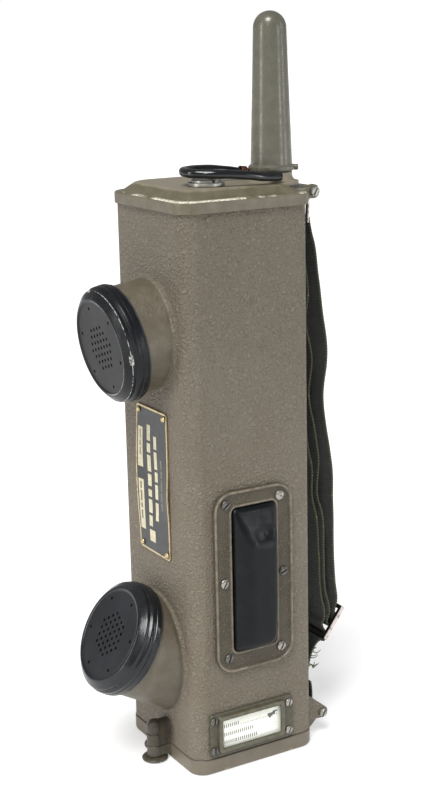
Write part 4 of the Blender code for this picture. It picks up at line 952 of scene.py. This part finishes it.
def make_receiver(prefix, rim, tilt, turn, finish):
    outside = [(0, 10.9), (12.0, 10.95), (23.2, 11.0), (24.0, 11.1), (24.5, 11.55), (24.9, 11.7),
               (25.5, 11.68), (26.1, 11.4), (26.8, 10.9), (27.6, 10.25), (28.4, 9.6), (29.0, 9.1),
               (29.35, 8.8), (29.55, 8.45),
               (29.5, 8.0), (29.3, 7.5), (29.35, 6.9), (29.8, 6.5), (30.3, 6.1), (30.6, 5.6), (30.7, 5.0),
               (30.7, 3.9), (30.5, 3.6), (30.5, 3.3), (30.8, 3.0), (30.8, 0.7), (30.6, 0.2), (30.2, 0.0)]
    inside = [(28.2, 0.0), (28.2, 8.2), (23.5, 9.2), (0, 9.2)]
    piece(f"{prefix}_screw_cap", turned(outside + inside, 112), finish,
          replaces=[f"{prefix}_cap"], place=aimed(rim, tilt), cuts=[hole_cutters(turn)], sharp=40)


# ---------------------------------------------------------------- nameplate

def sheet_grid(low, high, cell, marks, corner):
    """A flat sheet in the XY plane whose cells take the material index of the last mark over them."""
    columns, rows = (round((high[i] - low[i]) / cell) for i in (0, 1))
    bm = bmesh.new()
    dx, dy = (high[0] - low[0]) / columns, (high[1] - low[1]) / rows
    grid = [[bm.verts.new((low[0] + dx * i, low[1] + dy * j, 0.0)) for j in range(rows + 1)]
            for i in range(columns + 1)]
    for i in range(columns):
        for j in range(rows):
            face = bm.faces.new((grid[i][j], grid[i + 1][j], grid[i + 1][j + 1], grid[i][j + 1]))
            centre = face.calc_center_median()
            for (x0, y0, x1, y1), index in marks:
                if x0 < centre.x < x1 and y0 < centre.y < y1:
                    face.material_index = index
    middle = ((low[0] + high[0]) / 2, (low[1] + high[1]) / 2)
    half = ((high[0] - low[0]) / 2 - corner, (high[1] - low[1]) / 2 - corner)
    for vert in bm.verts:
        over = [abs(vert.co[i] - middle[i]) - half[i] for i in (0, 1)]
        if min(over) > 0 and math.hypot(*over) > corner:
            shrink = corner / math.hypot(*over)
            for i in (0, 1):
                vert.co[i] = middle[i] + math.copysign(half[i] + over[i] * shrink, vert.co[i] - middle[i])
    return bm


def thicken(bm, thickness):
    """Closes a flat sheet into a plate that reaches thickness below it."""
    faces = bm.faces[:]
    copy = bmesh.ops.duplicate(bm, geom=faces)
    lower = [g for g in copy["geom"] if isinstance(g, bmesh.types.BMVert)]
    bmesh.ops.translate(bm, vec=(0, 0, -thickness), verts=lower)
    flipped = [g for g in copy["geom"] if isinstance(g, bmesh.types.BMFace)]
    bmesh.ops.reverse_faces(bm, faces=flipped)
    rims = [e for e in bm.edges if e.is_boundary]
    bmesh.ops.bridge_loops(bm, edges=rims)
    return bm


def bars(start, end, across, height, lengths, index, gap=1.6):
    """A row of plain bars along Y, in place of a line of wording."""
    marks, y = [], start
    for length in lengths:
        if y - length < end:
            break
        marks.append(((across - height / 2, y - length, across + height / 2, y), index))
        y -= length + gap
    return marks


def make_nameplate(brass):
    ink = plain("plate_black", (0.020, 0.021, 0.024), (0.010, 0.010, 0.011), 0.34, 4.0,
                specular_ior_level=0.5)
    cream = plain("plate_cream", (0.62, 0.57, 0.41), (0.50, 0.45, 0.31), 0.5, 2.0)
    dull = plain("plate_dull", (0.20, 0.18, 0.12), (0.10, 0.09, 0.06), 0.5, 1.2)
    x0, z0 = PLATE_LOW
    x1, z1 = PLATE_HIGH
    border = 1.1
    marks = [((x0 + border, z0 + border, x1 - border, z1 - border), 1),
             ((x0 + 2.2, 162.0, x0 + 7.0, 184.0), 2), ((x0 + 1.8, 127.0, x0 + 6.9, 155.0), 2),
             ((-4.8, 121.8, 1.2, 128.6), 2)]
    marks += bars(186.5, 130.0, -2.9, 3.2, (8.5, 5.0, 9.0, 6.5, 4.0, 7.5, 6.0), 2)
    marks += bars(181.5, 129.0, 3.9, 3.0, (7.0, 9.5, 5.5, 8.0, 10.0), 2)
    marks += bars(170.0, 140.0, 9.6, 1.1, (5.0, 4.0, 6.0, 5.0, 4.0), 3, 1.0)
    marks += bars(182.5, 163.0, x0 + 4.5, 1.1, (5.0, 3.0, 4.0), 3, 1.0)
    marks += bars(153.5, 128.0, x0 + 4.3, 1.1, (4.0, 6.0, 3.0, 5.0), 3, 1.0)
    bm = thicken(sheet_grid((x0, z0), (x1, z1), 0.5, marks, 2.2), 0.6)
    low = CASE_D / 2 + GAP + 0.65
    for vert in bm.verts:
        u = (vert.co.x - x0) / (x1 - x0)
        v = (vert.co.y - z0) / (z1 - z0)
        lengthwise = max(0.0, math.sin(math.pi * v))
        bulge = 1.5 * lengthwise ** 1.5 * max(0.0, 1 - u * 1.6) ** 1.3
        ripple = 0.35 * math.sin(math.pi * u) * math.sin(3 * math.pi * v + 0.6) * lengthwise
        curl = 0.7 * max(0.0, u - 0.7) / 0.3 * math.exp(-((v - 0.43) / 0.13) ** 2)
        vert.co.z += low + bulge + max(-0.1, ripple) + curl
    holes = [cylinder(1.0, low - 2, low + 3, at(x, z), 20) for x, z in rivet_places()]
    for tool in holes:
        bmesh.ops.transform(tool, matrix=FRONT, verts=tool.verts)
    bmesh.ops.transform(bm, matrix=FRONT, verts=bm.verts)
    piece("maker_plate", bm, [brass, ink, cream, dull], replaces=["nameplate"], cuts=holes)
    seat = CASE_D / 2 + 2 * GAP + 0.75
    profile = [(0, 1.05), (0.5, 1.0), (1.0, 0.8), (1.4, 0.5), (1.65, 0.0), (0.75, 0.0), (0.75, -4.2),
               (0, -4.2)]
    for i, (x, z) in enumerate(rivet_places()):
        piece(f"plate_rivet_{i + 1}", turned(profile, 24, FRONT @ at(x, z, seat)), brass,
              replaces=[f"nameplate_rivet_{i + 1}"])


def rivet_places():
    return [(x, z) for x in (PLATE_LOW[0] + RIVET_INSET, PLATE_HIGH[0] - RIVET_INSET)
            for z in (PLATE_LOW[1] + RIVET_INSET, PLATE_HIGH[1] - RIVET_INSET)]


# ---------------------------------------------------------------- press-to-talk switch

def side_ring(width, height, radius, centre, level, steps=10):
    return [Vector((level, y, z)) for y, z in rounded_rectangle(width, height, radius, centre, steps)]


def make_bezel(bright, dark):
    face = SIDE_X + GAP
    outer = ((0.0, 0.0, 10.5), (0.0, 1.5, 10.5), (0.25, 2.1, 10.4), (0.8, 2.45, 10.1), (1.5, 2.55, 9.7),
             (2.3, 2.45, 9.4), (3.0, 2.05, 9.1), (3.6, 1.6, 8.8), (4.4, 1.5, 8.5))
    inner = ((4.2, 1.5, 4.7), (3.6, 1.6, 4.5), (3.0, 1.95, 4.3), (2.2, 2.2, 4.0), (1.4, 2.2, 3.5),
             (0.6, 1.95, 3.1), (0.0, 1.6, 2.8), (0.0, 0.0, 2.8))
    rings = [side_ring(BEZEL_W - i, BEZEL_H - i, r, PTT, face + h) for i, h, r in outer]
    rings += [side_ring(OPENING_W + i, OPENING_H + i, r, OPENING_MID, face + h) for i, h, r in inner]
    cuts = [cylinder(1.6, face - 1, face + 4, along_x(y, z), 16) for y, z, _ in BEZEL_SCREWS]
    piece("switch_bezel", lofted(rings, closed=True), bezel_paint(),
          replaces=["ptt_bezel"], cuts=cuts)
    finishes = (dark, bright, bright, dark, dark, bright)
    for i, ((y, z, turn), finish) in enumerate(zip(BEZEL_SCREWS, finishes)):
        screw(f"bezel_screw_{i + 1}", along_x(y, z) @ at(0, 0, face + 1.5 + GAP), 2.6, 1.15, turn, finish,
              replaces=[f"ptt_bezel_screw_{i + 1}"])


def make_boot():
    """The rubber boot: a domed pad with a sloping head, a folded dent and a narrower foot."""
    mid_y, mid_z = OPENING_MID
    width, height = OPENING_W - 0.8, OPENING_H - 0.8
    # each ring: width and height taken off, corner radius, shift along Y and Z, level
    controls = [(1.6, 1.6, 2.0, 0.0, 0.0, 37.0), (0, 0, 2.4, 0.0, 0.0, 37.2),
                (0, 0, 2.4, 0.0, 0.0, 39.0), (0.0, 0.0, 2.4, 0.0, 0.0, 41.0),
                (0.7, 1.6, 2.6, 0.0, -0.3, 42.0), (2.2, 5.6, 3.2, 0.2, -1.7, 43.4),
                (5.2, 12.0, 4.2, 0.8, -4.6, 45.5), (8.2, 17.6, 4.6, 1.4, -6.8, 47.0),
                (11.0, 21.6, 4.6, 1.8, -7.6, 47.9), (14.0, 27.0, 4.2, 2.0, -8.0, 48.15),
                (18.0, 34.0, 3.0, 2.0, -8.0, 48.2), (23.4, 46.0, 1.0, 1.8, -8.0, 48.2)]
    stages = [[p + (q - p) * (k / 3) for p, q in zip(a, b)]
              for a, b in zip(controls, controls[1:]) for k in range(3)] + [controls[-1]]
    bm = lofted([side_ring(width - i, height - j, r, (mid_y + dy, mid_z + dz), level, 8)
                 for i, j, r, dy, dz, level in stages])
    long_sides = [e for e in bm.edges if abs(e.verts[0].co.z - e.verts[1].co.z) > 20]
    bmesh.ops.subdivide_edges(bm, edges=long_sides, cuts=44, use_grid_fill=True)
    short_sides = [e for e in bm.edges if abs(e.verts[0].co.y - e.verts[1].co.y) > 6]
    bmesh.ops.subdivide_edges(bm, edges=short_sides, cuts=10, use_grid_fill=True)
    for vert in bm.verts:
        x, y, z = vert.co
        if x < 41.0:
            continue
        share = (x - 41.0) / 7.2
        dent = math.exp(-((y - mid_y - 5.0) / 5.0) ** 2 - ((z - mid_z - 25.0) / 4.5) ** 2)
        crease = math.exp(-((y - mid_y - 3.6) / 6.5) ** 2
                          - ((z - mid_z - 29.2 - 0.10 * (y - mid_y)) / 1.5) ** 2)
        foot = max(0.0, (mid_z - 12.0 - z) / 26.0)
        vert.co.x += -2.2 * dent * share + 1.1 * crease * share - 1.3 * foot ** 1.5 * share
        vert.co.x += 0.12 * noise.noise(Vector((0, y, z)) * 0.11) * share
        vert.co.y -= (y - mid_y) * 0.045 * foot * share
    finish = rubber("boot_rubber", (0.0016, 0.0021, 0.0028), 0.27, 0.02, 0.22)
    piece("switch_boot", bm, finish, "ptt", ["ptt_boot"], sharp=60)


# ---------------------------------------------------------------- label

def label_ring(low, high, radius, level):
    return side_ring(high[0] - low[0], high[1] - low[1], radius,
                     ((low[0] + high[0]) / 2, (low[1] + high[1]) / 2), level, 8)


def make_label(bright, dark):
    face = SIDE_X + GAP

    def around_view(margin, radius, level):
        low = (VIEW_LOW[0] - margin, VIEW_LOW[1] - margin)
        return label_ring(low, (VIEW_HIGH[0] + margin, VIEW_HIGH[1] + margin), radius, level)

    def flange(inset, level):
        return label_ring((LABEL_LOW[0] + inset, LABEL_LOW[1] + inset),
                          (LABEL_HIGH[0] - inset, LABEL_HIGH[1] - inset), 2.4, level)

    rings = [flange(inset, face + rise) for inset, rise in ((0, 0.0), (0, 0.8), (0.15, 1.1), (0.5, 1.2))]
    rings += [around_view(margin, radius, face + rise) for margin, radius, rise in
              ((2.9, 2.2, 1.2), (2.7, 2.0, 1.45), (2.55, 1.9, 2.4), (2.3, 1.8, 2.8), (1.8, 1.5, 3.0),
               (1.1, 1.1, 3.0), (0.6, 0.8, 2.85), (0.2, 0.5, 2.5), (0.0, 0.4, 2.3), (0.0, 0.4, 1.9),
               (1.4, 0.8, 1.9), (1.4, 0.8, 0.0))]
    cuts = [cylinder(1.6, face - 1, face + 4, along_x(y, z), 16) for y, z, _ in LABEL_SCREWS]
    piece("label_holder", lofted(rings, closed=True), frame_paint(),
          replaces=["label_frame"], cuts=cuts)
    for i, ((y, z, turn), finish) in enumerate(zip(LABEL_SCREWS, (dark, bright, dark, bright))):
        screw(f"label_fixing_{i + 1}", along_x(y, z) @ at(0, 0, face + 1.2 + GAP), 2.2, 1.1, turn, finish,
              replaces=[f"label_screw_{i + 1}"])
    paper = plain("label_paper", (0.93, 0.94, 0.86), (0.86, 0.87, 0.79), 0.75, 6.0, 0.02)
    ink = plain("label_ink", (0.045, 0.047, 0.047), (0.09, 0.095, 0.09), 0.7, 1.0, 0.0)
    faint = plain("label_rule", (0.30, 0.31, 0.29), (0.40, 0.41, 0.38), 0.7, 1.0, 0.0)
    low = (VIEW_LOW[0] - 1.0, VIEW_LOW[1] - 1.0)
    high = (VIEW_HIGH[0] + 1.0, VIEW_HIGH[1] + 1.0)
    marks = []
    for base, word_end in ((25.3, -11.2), (20.5, -2.0), (15.9, 1.0)):
        y = -21.0
        while y + 1.0 < word_end:
            marks.append(((y, base, y + 0.5, base + 2.1), 1))
            y += 1.25
        y = word_end + 0.4
        while y < 12.4:
            marks.append(((y, base - 0.15, y + 0.5, base + 0.15), 2))
            y += 0.8
    for y, z, half_y, half_z in ((8.8, 26.2, 2.4, 0.55), (8.2, 25.3, 1.6, 0.6), (8.0, 24.6, 0.7, 0.6),
                                 (11.2, 27.1, 1.4, 0.4)):
        marks.append(((y - half_y, z - half_z, y + half_y, z + half_z), 1))
    bm = thicken(sheet_grid(low, high, 0.25, marks, 0.6), 0.4)
    bmesh.ops.transform(bm, matrix=SIDE @ at(0, 0, face + 0.4), verts=bm.verts)
    piece("label_insert", bm, [paper, ink, faint], replaces=["label_card"])


# ---------------------------------------------------------------- strap

RIB_PITCH = 1.65
WEB_STEP = 0.55
STRAP_CELLS = 14


def webbing_mesh(route, wander):
    """Ribbed webbing swept along a (y, z) line, its edges drawn in between the ribs."""
    path, length = evenly(smooth_path([Vector(p) for p in route], 6), WEB_STEP)
    bm = bmesh.new()
    weave = bm.loops.layers.uv.new("weave")
    rings, marks = [], []
    for i, point in enumerate(path):
        s = i * length / (len(path) - 1)
        ahead = path[min(i + 1, len(path) - 1)] - path[max(i - 1, 0)]
        ahead.normalize()
        normal = Vector((-ahead.y, ahead.x))
        rib = math.cos(2 * math.pi * s / RIB_PITCH)
        free = max(0.0, min(1.0, (point.y - 90.0) / 40.0, (262.0 - point.y) / 30.0))
        sway = wander * free * (math.sin(s / 37.0) + 0.5 * math.sin(s / 15.0 + 1.3))
        half = STRAP_HALF - 0.22 + 0.2 * rib + 0.10 * math.sin(s / 4.1)
        across = [-half + 2 * half * k / STRAP_CELLS for k in range(STRAP_CELLS + 1)]
        outline = []
        for face, order in ((1, across), (-1, across[::-1])):
            for x in order:
                edge = abs(x) / half
                thick = (STRAP_T / 2 - 0.16 + 0.07 * rib) * (1.0 - 0.42 * edge ** 8)
                cup = 0.35 * free * (edge ** 2) * math.sin(s / 29.0)
                p = point + normal * (face * thick + cup)
                outline.append((x + sway, p.x, p.y))
        rings.append([bm.verts.new(p) for p in outline])
        marks.append([(x * MM, s * MM) for x in across] + [(x * MM, s * MM) for x in across[::-1]])

    def face(corners, places):
        made = bm.faces.new(corners)
        for loop, place in zip(made.loops, places):
            loop[weave].uv = place

    count = len(rings[0])
    for i in range(len(rings) - 1):
        for k in range(count):
            n = (k + 1) % count
            face((rings[i][k], rings[i][n], rings[i + 1][n], rings[i + 1][k]),
                 (marks[i][k], marks[i][n], marks[i + 1][n], marks[i + 1][k]))
    for end in (0, -1):
        half_count = count // 2
        for k in range(half_count - 1):
            face((rings[end][k], rings[end][k + 1], rings[end][count - 2 - k], rings[end][count - 1 - k]),
                 (marks[end][k], marks[end][k + 1], marks[end][count - 2 - k], marks[end][count - 1 - k]))
    return bm, length


def buckle_point(down, out):
    return Vector((BUCKLE_MID[0] + BUCKLE_DOWN[0] * down + BUCKLE_OUT[0] * out,
                   BUCKLE_MID[1] + BUCKLE_DOWN[1] * down + BUCKLE_OUT[1] * out))


def make_straps():
    eye = STRAP_T / 2 + 0.4
    long_route = [(46.2, 281.5), (46.1, 285.0)] + arc(LINK_BAR, 1.35 + eye, 180, -10, 7)
    long_route += [(53.0, 281.0), (55.0, 273.0), (57.2, 255.5), (58.8, 239.8), (61.3, 221.9), (61.6, 209.9),
                   (59.6, 193.3), (62.0, 174.7), (64.9, 160.2), (66.5, 146.7), (66.3, 130.0), (66.1, 114.2),
                   (66.3, 95.7), (67.2, 83.0), (68.4, 73.0)]
    long_route += [tuple(buckle_point(d, o)) for d, o in
                   ((-9.6, -3.0), (-6.6, -2.1), (-4.4, 0.0), (-2.1, 2.0), (0.0, 2.75), (1.95, 1.9),
                    (2.7, 0.0), (1.9, -1.9), (0.2, -3.0), (-4.0, -4.3))]
    long_route += [(62.8, 70.0), (61.0, 77.0), (60.0, 86.0), (59.4, 102.4), (58.7, 122.1), (55.2, 137.0),
                   (56.7, 154.7), (55.5, 165.2), (54.0, 175.5), (51.0, 193.6), (53.6, 212.9), (49.6, 234.1),
                   (50.6, 250.4), (48.2, 268.0), (47.6, 274.0)]
    short_route = [(50.3, 25.0), (50.9, 19.0)] + arc(HINGE_PIN, PIN_R + eye, 5, -185, 8)
    short_route += [(46.6, 22.0), (48.1, 31.0), (49.8, 39.0), (52.0, 44.6), (54.3, 47.8)]
    short_route += [tuple(buckle_point(d, o)) for d, o in
                    ((12.2, -0.4), (11.5, 2.0), (9.4, 2.95), (7.3, 2.1), (6.35, 0.0), (5.6, -2.3),
                     (3.7, -4.8), (0.0, -5.6))]
    short_route += [(59.6, 68.0), (58.1, 74.5), (56.9, 86.0), (56.5, 98.5), (54.6, 120.8), (51.2, 136.4),
                    (51.6, 152.2), (49.4, 164.0), (48.4, 177.0), (47.8, 192.0), (48.2, 206.0), (46.5, 220.0),
                    (45.8, 232.0)]
    cloth = webbing("strap_webbing")
    fray = make_fray()
    for name, node, route, wander, extras in (
            ("strap_upper", "strap_long", long_route, 0.8, ()),
            ("strap_lower", "strap_short", short_route, -0.7, (fray,))):
        bm, length = webbing_mesh(route, wander)
        strap = piece(name, bm, cloth, replaces=[node], sharp=70)


def make_fray():
    """Loose threads at the folded foot of the strap."""
    rng = random.Random(11)
    bm = bmesh.new()
    for i in range(13):
        start = Vector((rng.uniform(11.5, 15.2), 50.6 + rng.uniform(0.0, 1.6), rng.uniform(33.0, 45.0)))
        reach = rng.uniform(2.0, 6.0)
        lift = rng.uniform(-1.6, 2.0)
        bend = rng.uniform(-1.2, 1.2)
        points = [start, start + Vector((0.4, reach * 0.35, lift * 0.6 + bend)),
                  start + Vector((0.8, reach * 0.7, lift)),
                  start + Vector((0.6 + bend * 0.5, reach, lift - bend))]
        part = swept_tube(smooth_path(points, 4), lambda t: 0.34 - 0.18 * t, 6)
        mesh = bpy.data.meshes.new("strand")
        part.to_mesh(mesh)
        part.free()
        bm.from_mesh(mesh)
        bpy.data.meshes.remove(mesh)
    threads = plain("thread_ends", (0.19, 0.18, 0.075), (0.075, 0.080, 0.030), 0.85, 1.0)
    return piece("strap_fray", bm, threads)


def make_buckle():
    place = Matrix(((0, 0, 1, 0),
                    (BUCKLE_DOWN[0], BUCKLE_OUT[0], 0, BUCKLE_MID[0]),
                    (BUCKLE_DOWN[1], BUCKLE_OUT[1], 0, BUCKLE_MID[1]),
                    (0, 0, 0, 1)))
    m = Nodes("buckle_metal", metallic=0.85)
    rub = m.times(m.span(m.axis("Z"), 17.9 * MM, 18.4 * MM), m.span(m.noise(5.0, 3.0), 0.32, 0.5))
    blacking = m.mix(m.noise(3.0, 3.0), (0.012, 0.012, 0.011), (0.035, 0.034, 0.030))
    m.colour(m.mix(rub, blacking, (0.62, 0.55, 0.52)))
    m.rough(m.span(rub, 0.0, 1.0, 0.5, 0.3))
    m.bump(m.noise(1.0, 3.0), 0.05)
    cuts = [block((low, -3.0, -16.2), (high, 3.0, 16.2)) for low, high in ((-8.2, -1.2), (1.2, 8.2))]
    piece("buckle_frame", block((-10.6, -1.2, -18.6), (10.6, 1.2, 18.6), 0.55, 3), m.material,
          replaces=["strap_buckle"], place=place, cuts=cuts)


def make_link(bright):
    section = [(PIN_HOLE_R, 18.2), (2.7, 18.2), (3.0, 17.9), (3.0, -17.9), (2.7, -18.2), (PIN_HOLE_R, -18.2)]
    tube = turned(section, 36, along_x(*TOP_PIN), True)
    outline = [(48.9, 302.1), (50.1, 302.1), (49.5, 287.5), (48.3, 287.5)]
    plate = soft_prism(outline[::-1], -18.2, 18.2, 0.3, SIDE)
    piece("link_plate", tube, bright, replaces=["strap_top_link"], joins=[plate],
          cuts=[block((-16.0, 45.0, 289.9), (16.0, 53.0, 298.6))])


def make_pin(name, node, pin, end, finish):
    profile = [(0, -end - 1.8), (1.4, -end - 1.75), (2.1, -end - 1.2), (2.4, -end), (PIN_R, -end),
               (PIN_R, end), (2.5, end), (2.5, end + 1.1), (2.3, end + 1.5), (1.7, end + 1.75), (0, end + 1.8)]
    slot = block((-4, -0.5, end + 0.9), (4, 0.5, end + 3))
    bmesh.ops.transform(slot, matrix=Matrix.Rotation(math.radians(62), 4, "Z"), verts=slot.verts)
    piece(name, turned(profile, 32), finish, replaces=[node], place=along_x(*pin), cuts=[slot])


# ---------------------------------------------------------------- CAD nodes that stay

def finish_cad_nodes(bright, brass):
    black = rubber("gasket_rubber", (0.012, 0.012, 0.012), 0.55, 0.04)
    alloy = metal("chassis_alloy", (0.55, 0.56, 0.57), 0.38, (0.16, 0.15, 0.13), 0.35, 5.0)
    brown = plain("paxolin", (0.16, 0.075, 0.030), (0.09, 0.040, 0.018), 0.45, 7.0, specular_ior_level=0.5)
    wrap = plain("battery_paper", (0.33, 0.24, 0.13), (0.24, 0.17, 0.09), 0.7, 12.0)
    coil = winding("copper_turns", (0.14, 0.05, 0.02), (0.55, 0.25, 0.12), 0.8)
    looks = {f"{name}_gasket": black for name in ("top", "bottom", "earpiece", "mouthpiece")}
    looks |= {"earpiece_capsule": alloy, "mouthpiece_capsule": alloy, "chassis_frame": alloy,
              "ptt_switch_block": brown, "ptt_plunger": brass, "label_window": window_sheet(),
              "tank_coil": coil, "aerial_loading_coil": coil, "battery_a": wrap, "battery_b": wrap,
              "aerial_guide_tube": brass, "battery_contact_strip": brass}
    looks.update({f"valve_{i}": valve_glass() for i in range(1, 5)})
    looks.update({f"aerial_section_{i}": bright for i in range(1, 5)})
    for name, finish in looks.items():
        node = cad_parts[name]
        node.data.materials.clear()
        node.data.materials.append(finish)


def main():
    make_camera()
    make_studio()
    bright = metal("bright_steel", (0.36, 0.345, 0.31), 0.32, amount=0.6)
    dark = metal("dark_steel", (0.145, 0.140, 0.128), 0.42, amount=0.6)
    worn = metal("worn_steel", (0.36, 0.35, 0.32), 0.36, (0.10, 0.095, 0.085), 0.6, 3.0)
    brass = metal("plate_brass", (0.58, 0.47, 0.27), 0.38, (0.20, 0.14, 0.06), 0.5, 2.5)
    make_case()
    make_cover()
    make_lid()
    make_plug(worn)
    make_aerial_cap()
    make_loop()
    make_receiver("earpiece", EAR_RIM, EAR_TILT, EAR_HOLE_TURN, bakelite("ear_bakelite", 0.26, 1.0))
    make_receiver("mouthpiece", MOUTH_RIM, MOUTH_TILT, MOUTH_HOLE_TURN, bakelite("mouth_bakelite", 0.16, 0.0))
    make_nameplate(brass)
    make_bezel(bright, dark)
    make_boot()
    make_label(worn, dark)
    make_link(bright)
    make_pin("top_rod", "strap_pin", TOP_PIN, 22.8, worn)
    make_pin("hinge_rod", "hinge_pin", HINGE_PIN, 30.3, worn)
    make_buckle()
    make_straps()
    finish_cad_nodes(bright, brass)


main()
